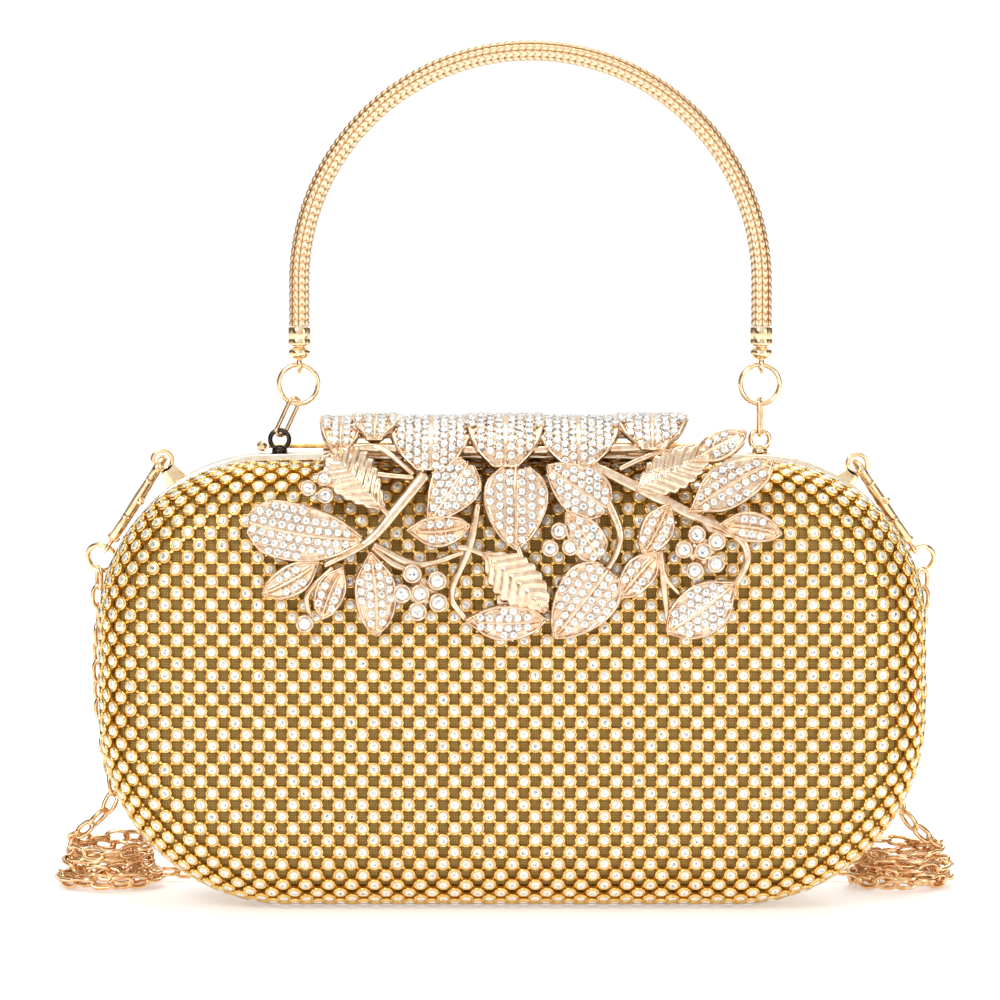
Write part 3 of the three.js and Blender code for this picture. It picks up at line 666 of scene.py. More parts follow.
# hoop: its outline's half width and top, its section as pairs of inset and depth, and the hinges' place
hoopSettings = {
    "half": 107.5, "top": 118.3, "hingeAt": 36, "hingeHalf": 8.2, "hingeHigh": 5, "hingeDeep": 2.4,
    "section": [(0.0, 0.7), (0.3, 0.4), (2.7, 0.4), (3.0, 0.7),
                (3.0, 3.7), (2.7, 4.0), (0.3, 4.0), (0.0, 3.7)],
}


# The smooth half hoop round the opening: an outline loop at each corner of its section, set deeper
# at the two bottom hinges.
def makeHoop(name, side, body, node, s):
    loops = []
    for inset, y in s["section"]:
        loop = outlineLoop(inset, s["half"], s["top"])
        nearHinge = (abs(abs(loop[:, 0]) - s["hingeAt"]) < s["hingeHalf"]) & (loop[:, 1] < s["hingeHigh"])
        loops.append(np.insert(loop, 1, side * np.where(nearHinge, max(y, s["hingeDeep"]), y), axis=1))
    points = np.stack(loops, 1).reshape(-1, 3)
    faces = facingOut(points, [gridFaces(len(loops[0]), len(loops), wrapRows=True)])
    addPiece(name, (points, faces), hoopGold, body, "yellow_gold_metal", node)


for side, body, word in ((-1, "case_front", "front"), (1, "case_rear", "rear")):
    makeCover(word + "Cover", side, body, word + "_mesh_cover", meshSettings)
    makeHoop(word + "Hoop", side, body, word + "_frame", hoopSettings)
    addPiece(word + "ShellMoulding", dishShape(side, 2.2, 1.2), shellPlastic, body, "moulded_shell",
             word + "_shell")
    addPiece(word + "LiningSatin", dishShape(side, 3.7, 0.8), satinCloth, body, "satin_lining",
             word + "_lining")
print("both halves made")

# clasp flap ornament: leaves, stems and flowers pressed over the flap's own section of y, z pairs,
# which ends at a height of 60 on the front
flapSection = [(4.5, 121.9), (-2, 125.9), (-10, 127.5), (-18, 126.6), (-25, 122.4),
               (-29.6, 115.6), (-31.7, 107), (-32.5, 96), (-32.5, 60)]
flapLine = smoothLine(flapSection, 24)[::-1]
flapFoot = flapLine[0, 1]
flapLength = distances(flapLine)


# A flat pattern laid over the flap: w runs up the front (equal to height below the bend) and then
# over the top; h is the height above the flap's middle surface.
def overFlap(x, w, h):
    at = w - flapFoot
    line = [np.interp(at, flapLength, flapLine[:, k]) for k in (0, 1)]
    slope = [np.interp(at, flapLength, np.gradient(flapLine[:, k], flapLength)) for k in (0, 1)]
    size = np.hypot(*slope)
    outY, outZ = -slope[1] / size, slope[0] / size
    return np.stack([x, line[0] + outY * h, line[1] + outZ * h], -1), np.stack([x * 0, outY, outZ], -1)


# The flap length that reaches a height on the front side.
def flapUp(z):
    front = flapLine[:, 1].argmax()
    return flapFoot + np.interp(z, flapLine[:front, 1], flapLength[:front])


# in millimetres: a leaf's border, middle rib, their height and the bed's; its stones' size and pitch; its
# underside; and the x where the left spray ends and the right one starts, for leaves and for stems
ornamentSettings = {
    "border": 1.0, "rib": 0.75, "borderHigh": 1.4, "bed": 0.35, "stone": 2.42, "pitch": 2.42, "under": -0.9,
    "leafSplit": (-26, 30), "stemSplit": (-20, 25), "bridgeFront": 116.6,
}

# Leaf widths along the length, 0 to 1, as shares of the half width.
leafWidths = {
    "leaf": [0.10, 0.45, 0.78, 0.96, 1.0, 0.95, 0.82, 0.58, 0.10],
    "blunt": [0.16, 0.48, 0.72, 0.88, 0.97, 1.0, 0.98, 0.86, 0.40],
    "fan": [0.14, 0.36, 0.58, 0.76, 0.90, 1.0, 1.0, 0.84, 0.35],
    "heart": [0.45, 0.82, 0.97, 1.0, 0.95, 0.83, 0.66, 0.43, 0.08],
    "dome": [0.80, 0.92, 0.98, 1.0, 1.0, 0.98, 0.91, 0.74, 0.34],
}


# A leaf's base, its unit way to the tip, the unit way across, its length and its smooth width line.
def leafFrame(base, tip, kind):
    base, tip = np.asarray(base, float), np.asarray(tip, float)
    length = np.hypot(*(tip - base))
    along = (tip - base) / length
    shape = leafWidths[kind]
    line = smoothLine(np.stack([np.linspace(0, 1, len(shape)), shape], 1), 10)
    return base, along, np.array([-along[1], along[0]]), length, line


# A leaf as a closed grid: along its length by across its width, top and underside. Its top is a bed
# with a half round border and a middle rib, or, with ribs, the power of a sine that makes pleats.
def leafShape(base, tip, width, kind, ribs, s, bend=0.0, lift=0.0):
    base, along, across, length, fine = leafFrame(base, tip, kind)
    u = np.linspace(0, 1, 41)
    half = width / 2 * np.interp(u, fine[:, 0], fine[:, 1])
    a = np.concatenate([np.linspace(-1, 1, 25), np.linspace(1, -1, 5)[1:-1]])
    top = np.arange(len(a)) < 25
    offset = a[None] * half[:, None]
    if ribs:
        pleat = abs(np.sin(pi * ribs * (u[:, None] - 0.22 * abs(a[None]))))
        height = s["bed"] + 1.0 * pleat**0.8 * (1 - 0.35 * abs(a[None])**3)
        ragged = 1 + 0.16 * (pleat - 0.5) * (abs(a[None]) > 0.9)
        offset = offset * ragged
    else:
        edge = np.clip(1 - (half[:, None] - abs(offset)) / s["border"], 0, 1)
        rib = np.clip(1 - abs(offset) / s["rib"], 0, 1) * (half[:, None] > 2.2)
        height = s["bed"] + (s["borderHigh"] - s["bed"]) * np.maximum(np.sin(edge * pi) * 1.15, rib)
        height = height + 0.35 * (1 - (offset / (width / 2)) ** 2)
    height = np.where(top[None], height, s["under"]) + lift
    rim = (abs(a) > 0.999)[None] & top[None]
    height = np.where(rim, 0.25 + lift, height)
    bow = bend * np.sin(pi * u)[:, None]
    x = base[0] + along[0] * length * u[:, None] + across[0] * (offset + bow)
    w = base[1] + along[1] * length * u[:, None] + across[1] * (offset + bow)
    points, _ = overFlap(x, w, height)
    points = points.reshape(-1, 3)
    count = len(a)
    last = (len(u) - 1) * count
    ends = np.stack([np.arange(count)[::-1], last + np.arange(count)])
    return points, facingOut(points, [gridFaces(len(u), count), ends])


# Places for the small set stones: rows parallel to the middle rib, spaced evenly up to the border,
# with every other row half a pitch further on; narrow leaves have one row.
def leafStones(base, tip, width, kind, s, bend=0.0, lift=0.0):
    base, along, across, length, fine = leafFrame(base, tip, kind)
    pitch = s["pitch"]
    free = width / 2 - s["border"] * 0.75 - s["rib"] * 0.45
    rows = max(int(free / 2.1 + 0.35), 1)
    offsets = s["rib"] * 0.45 + free * (np.arange(rows) + 0.5) / rows
    if width < 7.4:
        offsets = np.array([0.0]) if width < 6 else np.array([width * 0.17])
    places = []
    for n, o in enumerate(offsets):
        d = np.arange(pitch * (0.6 + 0.5 * (n % 2)), length - 0.8, pitch)
        room = width / 2 * np.interp(d / length, fine[:, 0], fine[:, 1]) - o
        d = d[room > s["stone"] * 0.42 + s["border"] * 0.45]
        for sign in ((1, -1) if o > 0.1 else (1,)):
            places.append(np.stack([d, np.full(len(d), sign * o)], 1))
    p = np.concatenate(places)
    bow = bend * np.sin(pi * p[:, 0] / length)
    x = base[0] + along[0] * p[:, 0] + across[0] * (p[:, 1] + bow)
    w = base[1] + along[1] * p[:, 0] + across[1] * (p[:, 1] + bow)
    return overFlap(x, w, np.full(len(x), s["bed"] + 0.25 + lift))


# A stem: an oval bar laid over the flap along its points, thinner towards its ends.
def stemShape(points, width, taper=(0.7, 0.7), high=0.75):
    line = evenLine(smoothLine(points, 10), 10 * len(points))
    t = np.linspace(0, 1, len(line))
    grow = np.interp(t, [0, 0.35, 1], [taper[0], 1, taper[1]])
    path, _ = overFlap(line[:, 0], line[:, 1], np.full(len(line), 0.15))
    section = circle(1, 12) * (width / 2, high)
    return sweep(path, section, (0, -1, 0.35), grow=grow)


# A point of x and height on the front as a point of the flap's flat pattern.
def upFlap(point):
    return (point[0], float(flapUp(point[1])))


# name: base, tip, width, kind, ribs, bend
leaves = {
    "leafA": ((-38.8, 98.1), (-67.8, 102.6), 15.2, "blunt", 0, 0.9),
    "leafB": ((-33.4, 106.0), (-46.4, 119.6), 13.6, "fan", 7, 0),
    "leafC": ((-49.6, 92.4), (-64.4, 84.0), 8.4, "leaf", 0, 0.6),
    "leafD": ((-43.6, 91.2), (-49.2, 77.6), 8.2, "leaf", 0, -0.6),
    "leafE": ((-36.5, 95), (-34.9, 73.3), 11.2, "leaf", 0, 0.6),
    "leafF1": ((-21.6, 102.4), (-11.4, 117.4), 13.4, "fan", 0, -0.4),
    "leafF1b": ((-27.2, 100.6), (-10.8, 101.8), 8.4, "leaf", 0, -1.0),
    "leafF2": ((0.9, 116.2), (0.9, 95.6), 17.4, "heart", 0, 0),
    "leafF3": ((24.2, 106.2), (8.8, 116.4), 13.6, "heart", 0, 0),
    "leafF3b": ((13.8, 105.2), (22.4, 93.4), 9.4, "blunt", 0, 0.3),
    "leafH": ((24.6, 90.4), (10.8, 72.8), 16.6, "heart", 0, 0),
    "leafI": ((-7.3, 94.8), (9.0, 79.6), 12.4, "leaf", 8, 0.4),
    "leafL": ((-12.1, 77.3), (8.8, 77.5), 9.4, "leaf", 0, -0.8),
    "leafM": ((31.7, 110.6), (51.2, 120.4), 11.2, "leaf", 8, 0),
    "leafN": ((45.8, 105.4), (67.4, 117.4), 12.0, "leaf", 0, 0.8),
    "leafT": ((46.5, 117.6), (60.5, 124.2), 8.6, "leaf", 0, 0.3),
    "leafO": ((53, 102.0), (69.3, 99.6), 8.0, "leaf", 0, 0.6),
    "leafQ": ((40.4, 107.3), (33.5, 94.4), 8.8, "leaf", 0, 0.3),
    "leafR": ((37.8, 95), (27.6, 83.2), 8.6, "leaf", 0, -0.3),
    "leafS": ((57.3, 87.0), (39.8, 74.2), 13.6, "leaf", 0, 0.7),
}
# points, width, share of the width at the two ends
stems = [
    ([(-22.4, 114.7), (-29.5, 106.3), (-37, 97.8), (-48.5, 91.4)], 2.9, (1.1, 0.5)),
    ([(-46.2, 90.9), (-52.6, 84.2), (-52.1, 78.4)], 1.8, (0.8, 0.6)),
    ([(-35.7, 96.8), (-24.2, 91.7), (-12.6, 94.8)], 2.0, (0.8, 0.6)),
    ([(-8.8, 107.3), (-11.1, 96.3), (-15.7, 84.2), (-12.1, 77.6)], 2.3, (0.7, 0.6)),
    ([(18.9, 117.6), (32.7, 111.2), (45, 105), (57.8, 98.9), (60.4, 93.2), (57.3, 86.3)], 2.9, (0.9, 0.6)),
    ([(36.6, 95.3), (39.6, 88.1), (43, 84)], 1.7, (0.8, 0.5)),
    ([(38.1, 95.3), (39.1, 85.3), (40.4, 74.5)], 1.9, (0.8, 0.5)),
    ([(19.4, 117.3), (27.1, 102.2), (27.1, 95.8), (24.5, 90.4)], 2.4, (0.8, 0.6)),
    ([(-14, 96.2), (-11.1, 95.8), (-7.3, 94.2)], 1.9, (0.8, 0.7)),
    ([(-26, 90), (-31, 92), (-36, 96)], 1.8, (0.7, 0.7)),
    ([(48, 104.5), (51, 100.5), (57.8, 98.9)], 1.8, (0.7, 0.7)),
    ([(0.9, 98), (3.4, 88), (1.2, 78)], 1.9, (0.7, 0.6)),
    ([(-31.2, 103.6), (-36.5, 109.5), (-43, 115.5)], 1.7, (0.9, 0.5)),
    ([(-49.5, 118.4), (-40, 121.3), (-34, 121.0), (-25.5, 114.7)], 1.7, (0.8, 0.8)),
    ([(-43.0, 120.6), (-40, 117.2), (-35.5, 114.9), (-25.5, 113.9)], 1.5, (0.8, 0.8)),
    ([(27.5, 116.0), (36, 119.5), (47, 121.8)], 1.6, (0.8, 0.8)),
]
# over the top to the front: x from, x to, height of the front end
topLeaves = [(-50.2, -38.6, 119.4), (-42.2, -29.0, 122.6), (-32.6, -9.6, 115.6), (-12.4, 8.8, 116.2),
             (5.6, 28.6, 116.6), (26.6, 45.8, 120.4)]
# places, size
bigStones = {
    "cluster": ([(-52.4, 110.9), (-48.5, 113.2), (-48, 109.1)], 3.9),
    "single": ([(-53.4, 76.6)], 4.4),
    "middle": ([(12, 100.4), (9.7, 96), (14.8, 96.3)], 4.2),
}
flowers = {
    "flower_left": ([(-25.7, 89.6), (-19.3, 87.8), (-28.3, 84.5),
                     (-23.7, 84.5), (-19, 82.2), (-24.4, 79.9)], 4.7),
    "flower_right": ([(47.3, 99.6), (52.4, 97.8), (44, 95.8),
                      (48.9, 95.3), (52.2, 92.2), (46.8, 90.4)], 4.4),
}


# Round cups with a base ring and a stone each, all turned profiles times the stone's size, square to
# the flap at their places. Gives the metal shapes and the stones.
def collets(places, size, lift):
    x, w = np.array(places).T
    points, normal = overFlap(x, flapUp(w), np.full(len(x), lift))
    cup = ringTemplate([(0.40, 0.0), (0.52, 0.30), (0.53, 0.52), (0.44, 0.60), (0.38, 0.3)], 20)
    base = ringTemplate([(0.08, -0.12), (0.50, -0.12), (0.46, 0.12), (0.08, 0.12)], 20)
    at = points, squareAxes(normal, np.arange(len(x)) * 0.9), np.full(len(x), size)
    return [scatter(*cup, *at), scatter(*base, *at)], scatter(*stoneTemplate(0.43, 0.42, 0.2, 0.2), *at)


# The spray that a piece belongs to, by its x.
def sprayAt(x, split):
    return "left_spray" if x < split[0] else "centre_spray" if x < split[1] else "right_spray"


# All the ornament: leaves and stems by spray, the bridge over the top with its rail and beam, big
# stones and flowers in collets, and small stones with four tiny beads round each that hold it.
def makeFlap(s):
    def addMetal(name, shapes, *nodes):
        addPiece(name, joinShapes(shapes), roseGold, "clasp_flap", "rose_gold_casting", *nodes)

    def addStones(name, stones, seed, crown):
        addPiece(name, stones, crystal, "clasp_flap", "rose_gold_casting", smooth=False,
                 tone=facetTones(stones[1], seed, crown))

    metal = {"left_spray": [], "centre_spray": [], "right_spray": []}
    pave = []
    for base, tip, width, kind, ribs, bend in leaves.values():
        ends = upFlap(base), upFlap(tip)
        metal[sprayAt(base[0], s["leafSplit"])].append(leafShape(*ends, width, kind, ribs, s, bend))
        if not ribs:
            pave.append(leafStones(*ends, width, kind, s, bend))
    for points, width, taper in stems:
        line = [upFlap(p) for p in points]
        metal[sprayAt(points[0][0], s["stemSplit"])].append(stemShape(line, width, taper))
    bridge = []
    hinge = flapFoot + flapLength[-1] - 1.6
    front = float(flapUp(s["bridgeFront"]))
    for n, (left, right, height) in enumerate(topLeaves):
        middle, width, lift = (left + right) / 2, right - left, 0.1 + 0.55 * (n % 2)
        ends = (middle, hinge), (middle, float(flapUp(height)))
        bridge.append(leafShape(*ends, width, "dome", 0, s, 0, lift))
        pave.append(leafStones(*ends, width, "dome", s, 0, lift))
    bridge.append(stemShape([(x, hinge - 0.6) for x in (-48, -20, 10, 41.5)], 2.4, (1, 1)))
    bridge.append(stemShape([(-46, front + 6), (-20, front + 5), (10, front + 5), (40, front + 6)],
                            2.0, (1, 1), 0.6))
    addMetal("flapBridge", bridge, "flap_bridge")
    for spray, shapes in metal.items():
        addMetal(spray + "Casting", shapes, spray)
    setMetal, setStones = [], []
    for places, size in bigStones.values():
        cups, stones = collets(places, size, 0.7)
        setMetal += cups
        setStones.append(stones)
    addMetal("bigStoneCollets", setMetal)
    for node, (places, size) in flowers.items():
        cups, stones = collets(places, size, 2.0)
        middle = np.mean(places, 0)
        centre, normal = overFlap(middle[:1], flapUp(middle[1:]), np.array([0.9]))
        plate = ringTemplate([(0.05, 0), (3.4, 0.2), (3.4, 0.9), (0.05, 0.9)], 24)
        addMetal(node + "Collets", cups + [scatter(*plate, centre, squareAxes(normal))], node)
        setStones.append(stones)
    addStones("bigStones", joinShapes(setStones), 21, (0.1, 0.8))
    origins, normals = (np.concatenate(part) for part in zip(*pave))
    axes = squareAxes(normals, np.random.default_rng(11).uniform(0, pi / 4, len(origins)))
    small = stoneTemplate(s["stone"] * 0.48, 0.5, 0.55, 0.0)
    addStones("paveStones", scatter(*small, origins, axes), 13, (0.02, 0.62))
    angle = np.arange(4) * pi / 2 + pi / 4
    corner = np.stack([np.cos(angle), np.sin(angle)], 1) * s["stone"] * 0.62
    spots = np.einsum("nik,ck->nci", axes[:, :, :2], corner) + origins[:, None]
    bead = stoneTemplate(0.33, 0.4, 0.25, 0.0)
    addMetal("paveBeads", [scatter(*bead, spots.reshape(-1, 3), np.repeat(axes, 4, 0))])
    print("flap ornament:", len(origins), "small stones")


makeFlap(ornamentSettings)

# handle, in millimetres: its plane's y, the legs' x, the arch's top, the tube's radius, the columns of
# stitches, a stitch's length and relief, and points round the tube and along a stitch
handleSettings = {
    "y": 2.2, "left": -56.1, "right": 65.7, "top": 224.2, "radius": 2.9, "legBottom": 151.9,
    "columns": 8, "cell": 1.9, "relief": 0.6, "around": 64, "perCell": 6,
}


# The arch: straight legs and a half circle between them, at even spacing.
def archLine(s, count):
    radius, middle = (s["right"] - s["left"]) / 2, (s["right"] + s["left"]) / 2
    springing = s["top"] - radius
    angle = np.linspace(pi, 0, 90)
    z = np.linspace(s["legBottom"], springing, 20)[:-1]
    leftLeg = np.stack([z * 0 + s["left"], z], 1)
    arch = np.stack([middle + radius * np.cos(angle), springing + radius * np.sin(angle)], 1)
    rightLeg = np.stack([z * 0 + s["right"], z], 1)[::-1]
    return evenLine(np.insert(np.concatenate([leftLeg, arch, rightLeg]), 1, s["y"], axis=1), count)


# Knitted chain in columns of V stitches: the radius is the base plus the relief times a stitch's
# height, a power of the sine along it times a power of the cosine across its column.
def makeHandleTube(s):
    rough = archLine(s, 400)
    length = distances(rough)[-1]
    count = int(length / s["cell"] * s["perCell"])
    line = archLine(s, count)
    along = unit(np.gradient(line, axis=0))
    side = np.broadcast_to(np.array([0, 1.0, 0]), line.shape)
    up = np.cross(side, along)
    angle = np.arange(s["around"]) / s["around"] * 2 * pi
    d = distances(line)[:, None]
    column = angle[None] / (2 * pi) * s["columns"]
    inColumn = column % 1 - 0.5
    stitch = (d / s["cell"] + 1.1 * abs(inColumn)) % 1
    bar = np.sin(pi * stitch) ** 0.7
    ridge = np.cos(pi * inColumn) ** 0.5 * 0.9
    groove = np.where(abs(inColumn) < 0.06, 0.55, 1.0)
    height = bar * ridge * groove
    radius = s["radius"] - s["relief"] + s["relief"] * height
    points = (line[:, None] + side[:, None] * (radius * np.cos(angle))[..., None]
              + up[:, None] * (radius * np.sin(angle))[..., None]).reshape(-1, 3)
    last = (count - 1) * s["around"]
    j = np.arange(s["around"])
    faces = [gridFaces(count, s["around"]), np.stack([j[::-1], last + j])]
    # painted shade: each face's tone is its stitch height, so the grooves come out browner
    tone = np.append(height[:-1].ravel(), [0.5, 0.5])
    addPiece("handleKnit", (points, facingOut(points, faces)), knitGold, "handle", "knit_chain_metal",
             "handle_tube", tone=tone)
    print("handle knit: length", round(float(length), 1), "mm")


makeHandleTube(handleSettings)

# the fittings at each leg, in millimetres: x of cap, ring and lug; the link's two wire centres in x, z
# and its turn in degrees; the lug's metal; the ferrule's profile of radius and height; and heights
fittingSettings = {
    # the left lug's dark metal is painted shade
    "left": (-56.1, -56.4, -61.4, (-60.9, 124.45), (-57.6, 131.49), 54, shadedLugMetal),
    "right": (65.7, 65.4, 65.4, (65.4, 124.5), (65.4, 131.35), 16, paleGold),
    "capEyeZ": 141.6, "ringZ": 136.5, "lugEyeZ": 121.9, "lugFootZ": 119.65,
    "capProfile": [
        (0, 143.1), (1.2, 143.1), (1.8, 143.25), (2.5, 143.75), (2.8, 144.3), (2.85, 144.9), (2.75, 145.5),
        (2.2, 145.95), (1.5, 146.15), (1.45, 146.4), (1.5, 146.65), (2.5, 146.75), (2.85, 146.95),
        (2.9, 147.2), (2.9, 148.2), (2.78, 148.4), (2.78, 148.6), (2.9, 148.8), (2.9, 151.4),
        (2.7, 151.65), (0, 151.65)],
    "lugProfile": [(0, -1.4), (2.1, -1.4), (2.0, -0.4), (1.3, 0.2), (0.9, 0.8), (0, 0.8)],
}


# Oval wire link between two centres in x, z: two half circles of wire joined, turned about its length.
def ovalLink(foot, head, turn, y, end=1.5, wire=0.56):
    foot, head = np.array([foot[0], y, foot[1]]), np.array([head[0], y, head[1]])
    up = unit(head - foot)
    side = unit(np.cross((0, 1.0, 0), up))
    wide = side * sin(radians(turn)) + np.array([0, 1.0, 0]) * cos(radians(turn))
    angle = np.linspace(0, pi, 14)[:, None]
    top = head + up * np.sin(angle) * end - wide * np.cos(angle) * end
    low = foot - up * np.sin(angle) * end + wide * np.cos(angle) * end
    return sweep(np.concatenate([top, low]), circle(wire, 12), np.cross(wide, up), closed=True)


# A ferrule with its eye, the round ring, the oval link and the lug on the hoop, on their four bodies.
def makeHandleFittings(word, s, y):
    capX, ringX, eyeX, foot, head, turn, lugMetal = s[word]
    up, across = (0, 0, 1), (0, 1, 0)
    cap = joinShapes([turned(s["capProfile"], (capX, y, 0), up, 40),
                      ringShape((capX, y, s["capEyeZ"]), 1.8, 0.65, (1, 0, 0), 32, 12)])
    addPiece("handleCap_" + word, cap, paleGold, "handle", "pale_gold_metal", "handle_cap_" + word)
    ring = ringShape((ringX, y, s["ringZ"]), 5.15, 0.64, across, 64, 14)
    addPiece("handleRing_" + word, ring, paleGold, "rings", "pale_gold_metal", "handle_ring_" + word)
    addPiece("handleLink_" + word, ovalLink(foot, head, turn, y), paleGold,
             "links", "pale_gold_metal", "handle_link_" + word)
    base = turned([(r, s["lugFootZ"] + z) for r, z in s["lugProfile"]], (eyeX, y, 0), up, 28)
    eye = ringShape((eyeX, y, s["lugEyeZ"]), 2.5, 0.62, across, 44, 12)
    addPiece("handleLug_" + word, joinShapes([base, eye]), lugMetal,
             "case_rear", "pale_gold_metal", "handle_lug_" + word)


for word in ("left", "right"):
    makeHandleFittings(word, fittingSettings, handleSettings["y"])

# lobster clasps at the shoulders, in millimetres: the lugs' x, z, the rings' centres, a clasp's length,
# the hoop's corner centre and how far from it a lug's foot stands, and in the clasp's own frame the
# hook's line and how it swells, the trigger's line, and the profiles of collar, thumb tab and washer
claspSettings = {
    "y": 2.2, "lugs": {"left": (-92.4, 116.4), "right": (91.2, 115.4)},
    "rings": {"left": (-111.2, 16, 87.3), "right": (110.1, 16, 87.6)}, "length": 27.4,
    "frameCorner": (64.5, 75.3), "lugFoot": 42.6,
    "hook": [(4.2, -3.2, 0), (1.2, -2.6, 0), (0, 0, 0), (1.2, 2.6, 0), (5, 3.4, 0), (12, 3.6, 0),
             (19, 3.2, 0), (24.4, 2.1, 0), (27.2, 0, 0), (24.4, -2.1, 0), (18.6, -3.1, 0)],
    "hookSwell": [(0, 0.75), (0.06, 0.9), (0.3, 0.95), (0.5, 1.15), (0.7, 1.05), (0.95, 0.95), (1, 0.7)],
    "trigger": [(17.2, -3.1, 0), (11, -3.4, 0), (5.6, -3.2, 0)],
    "collar": [(0, 26.3), (1.2, 26.3), (1.7, 26.7), (1.7, 27.5), (1.2, 28.0), (0, 28.0)],
    "tab": [(0, -1.0), (0.5, -0.95), (0.95, -0.4), (1.05, 0.1), (0.8, 0.7), (0.3, 1.0), (0, 1.02)],
    "washer": [(2.05, -0.4), (2.25, -0.6), (2.95, -0.6), (3.15, -0.4),
               (3.15, 0.4), (2.95, 0.6), (2.25, 0.6), (2.05, 0.4)],
    # the lug's flat section: share of the half width, and depth
    "lugSection": [(-1, -0.45), (-0.94, -0.6), (0.94, -0.6), (1, -0.45),
                   (1, 0.45), (0.94, 0.6), (-0.94, 0.6), (-1, 0.45)],
}


# A clasp in its own frame, u from the lug to the ring, turned into place: the hook is a swelling bar
# along its line with an eye and a collar, the trigger a bar with a tab. The lug is a washer on a tab
# that widens in a straight line down to the hoop.
def makeClasp(word, s):
    x, z = s["lugs"][word]
    start = np.array([x, s["y"], z])
    u = unit(np.array(s["rings"][word]) - start)
    v = unit(np.array([0, 1.0, 0]) - u[1] * u)
    w = np.cross(u, v)
    axes = np.stack([u, v, w], 1)

    def turnedIn(shape):
        points = shape[0] @ axes.T + start
        return points, facingOut(points, shape[1])

    path = evenLine(smoothLine(s["hook"], 10), 90)
    grow = np.interp(np.linspace(0, 1, 90), *zip(*s["hookSwell"]))
    hook = sweep(path, circle(1.3, 14), (0, 0, 1), grow=grow)
    eye = ringShape((30.0, 0, 0), 1.9, 0.6, (0, 0, 1), 36, 12)
    collar = turned(s["collar"], (0, 0, 0), (1, 0, 0), 24)
    addPiece("claspHook_" + word, turnedIn(joinShapes([hook, eye, collar])), paleGold,
             "case_rear", "pale_gold_metal", "clasp_hook_" + word)
    bar = sweep(evenLine(smoothLine(s["trigger"], 8), 24), circle(1.0, 12), (0, 0, 1))
    tab = turned(s["tab"], (11.5, -4.3, 1.0), (0, 0.35, 1), 18)
    addPiece("claspTrigger_" + word, turnedIn(joinShapes([bar, tab])), paleGold,
             "trigger_" + word, "pale_gold_metal", "clasp_trigger_" + word)
    ring = ringShape((s["length"] + 6.9, 0, 0), 3.8, 0.72, (0, 1, 0), 48, 12)
    addPiece("claspRing_" + word, turnedIn(ring), paleGold,
             "case_rear", "pale_gold_metal", "clasp_ring_" + word)
    centre = np.array([np.sign(x) * s["frameCorner"][0], s["frameCorner"][1]])
    away = unit(np.array([x, z]) - centre)
    foot, head = centre + away * s["lugFoot"], np.array([x, z]) - away * 2.3
    across = np.array([-away[1], away[0]])
    t = np.linspace(0, 1, 9)[:, None]
    middle = foot + (head - foot) * t
    half = np.interp(t[:, 0], [0, 0.5, 1], [3.0, 2.5, 1.9])
    flat = np.array(s["lugSection"])
    sideways = middle[:, None] + across * (flat[None, :, :1] * half[:, None, None])
    points = np.stack([sideways[..., 0], np.broadcast_to(s["y"] + flat[:, 1], sideways.shape[:2]),
                       sideways[..., 1]], -1).reshape(-1, 3)
    ends = np.stack([np.arange(8)[::-1], 64 + np.arange(8)])
    tabShape = points, facingOut(points, [gridFaces(9, 8), ends])
    eyeAxes = np.array([[(1, 0, 0), (0, 0, 1), (0, -1, 0)]], float).transpose(0, 2, 1)
    points, faces = scatter(*ringTemplate(s["washer"], 40), np.array([[x, s["y"], z]]), eyeAxes)
    addPiece("shoulderLug_" + word, joinShapes([(points, facingOut(points, faces)), tabShape]), paleGold,
             "case_rear", "pale_gold_metal", "chain_lug_" + word)


for word in ("left", "right"):
    makeClasp(word, claspSettings)

# the flap's hinge, the bottom hinges and the plates inside keep their CAD shapes
cadMaterials = {
    yellowGold: ["flap_hinge_rod"] + ["bottom_hinge_" + part for part in (
        "left_rear_leaf", "left_front_leaf", "left_pin", "right_rear_leaf", "right_front_leaf", "right_pin")],
    paleGold: ["flap_hinge_post_left", "flap_hinge_post_right", "flap_hinge_barrel"],
    satinCloth: ["slip_pocket"], steel: ["catch_plate", "handle_core"], roseGold: ["flap_magnet"],
}
for material, nodes in cadMaterials.items():
    for node in nodes:
        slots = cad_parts[node].data.materials
        slots.clear()
        slots.append(material)

# floor and room: the board's radius in metres and glow; each soft light's place, size and power; and
# the room's brightness as the eye and as the object see it
roomSettings = {
    "floorRadius": 5, "floorGlow": 0.34, "seen": 1.15, "strength": 0.9, "aim": (0, 0, 0.1),
    "keySoftbox": ((-0.5, -0.8, 0.7), (0.35, 0.35), 3.4),
    "fillSoftbox": ((0.75, -0.7, 0.35), (0.3, 0.5), 2.0),
    "backSoftbox": ((0.4, 0.9, 0.6), (0.4, 0.4), 1.7), "topSoftbox": ((0, 0.15, 0.95), (0.6, 0.5), 2.6),
    "stops": [(0.0, "#FFFFFF"), (0.38, "#F6F3EE"), (0.56, "#8F877C"), (0.74, "#4F463C"),
              (0.88, "#A69D90"), (1.0, "#F0ECE4")],
}


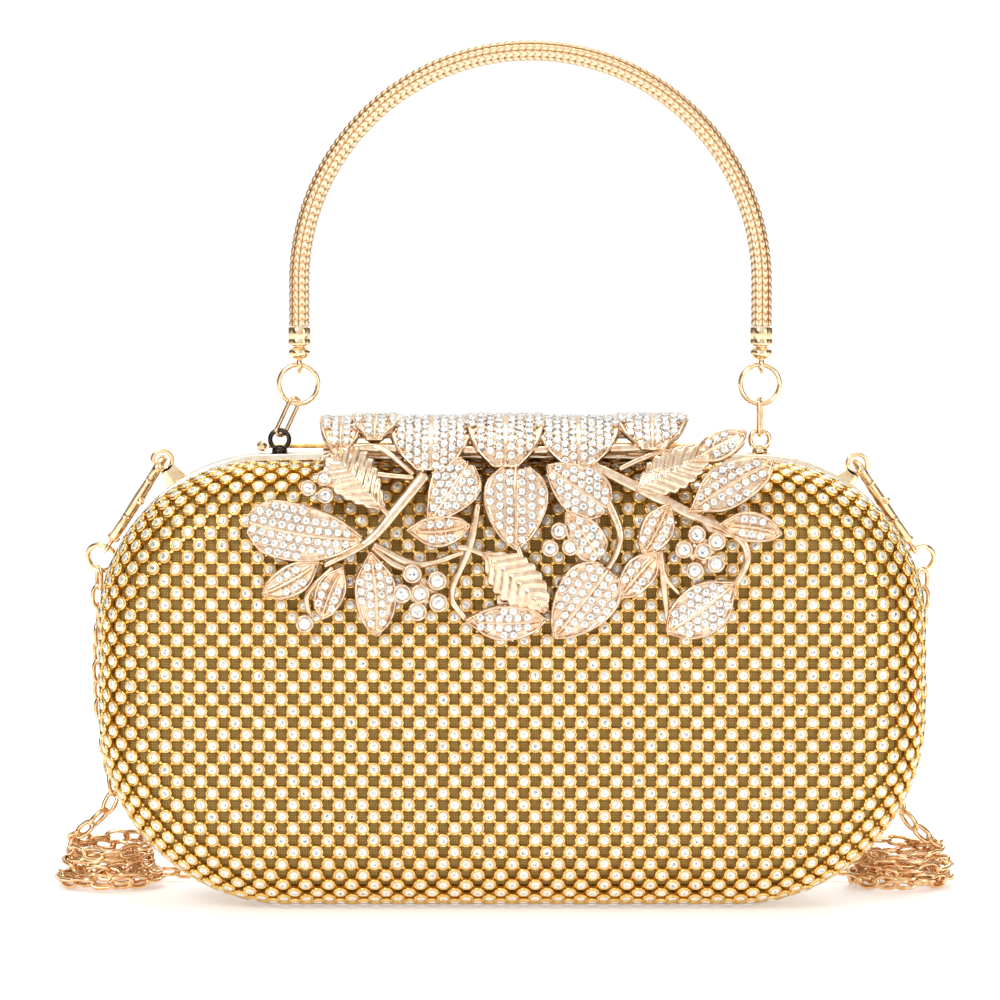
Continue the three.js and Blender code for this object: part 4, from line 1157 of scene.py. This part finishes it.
# Painted board: matt white, with a faint glow that keeps it even. Ten rings of 64 points, their radius
# growing with the square of their number, a hair below the object.
def makeFloor(s):
    radius = np.linspace(0.2, 1, 10)[:, None] ** 2 * s["floorRadius"]
    angle = np.arange(64) / 64 * 2 * pi
    rings = np.stack([radius * np.cos(angle), radius * np.sin(angle), np.full((10, 64), -0.0002)], -1)
    j = np.arange(64)
    middle = np.stack([np.full(64, 640), j, (j + 1) % 64], 1)
    material, tree, shader = newMaterial("paintedBoard", "#FFFFFF", Roughness=0.6)
    setInputs(tree, shader, {"Emission Color": (1, 1, 1, 1), "Emission Strength": s["floorGlow"]})
    makeMesh("floor", np.concatenate([rings.reshape(-1, 3), [(0, 0, -0.0002)]]),
                      [gridFaces(10, 64)[:, ::-1], middle], material)


# A soft rectangular light turned from its place to the aim.
def areaLight(name, place, size, power, aim):
    lamp = bpy.data.lights.new(name, "AREA")
    lamp.shape, lamp.size, lamp.size_y, lamp.energy = "RECTANGLE", size[0], size[1], power
    light = bpy.data.objects.new(name, lamp)
    light.location = place
    light.rotation_euler = (Vector(aim) - Vector(place)).to_track_quat("-Z", "Y").to_euler()
    bpy.context.scene.collection.objects.link(light)


# The room: bright above and behind, with a darker band at the sides and low, so that polished metal
# shows light and shade as it turns: the ramp is read at the sideways part less 0.35 of the upward part.
def makeLight(s):
    world = bpy.data.worlds.new("room")
    bpy.context.scene.world = world
    world.use_nodes = True
    tree = world.node_tree
    direction = addNode(tree, "TexCoord").outputs["Generated"]
    parts = addNode(tree, "SeparateXYZ", inputs={"Vector": direction}).outputs
    sideways = addNode(tree, "Math", {"operation": "ABSOLUTE"}, {0: parts["X"]}).outputs[0]
    band = addNode(tree, "Math", {"operation": "MULTIPLY_ADD"}, {0: parts["Z"], 1: -0.35, 2: sideways})
    ramp = addNode(tree, "ValToRGB", inputs={"Fac": band.outputs[0]}, stops=s["stops"]).outputs["Color"]
    byEye = addNode(tree, "LightPath").outputs["Is Camera Ray"]
    plain = addNode(tree, "Mix", {"data_type": "RGBA"}, {0: byEye, 6: ramp, 7: (*[s["seen"]] * 3, 1)})
    setInputs(tree, tree.nodes["Background"], {"Color": plain.outputs[2], "Strength": s["strength"]})
    for name in ("keySoftbox", "fillSoftbox", "backSoftbox", "topSoftbox"):
        areaLight(name, *s[name], s["aim"])
    bpy.context.scene.view_settings.view_transform = "Standard"


makeFloor(roomSettings)
makeLight(roomSettings)
print("room made")

print("done")
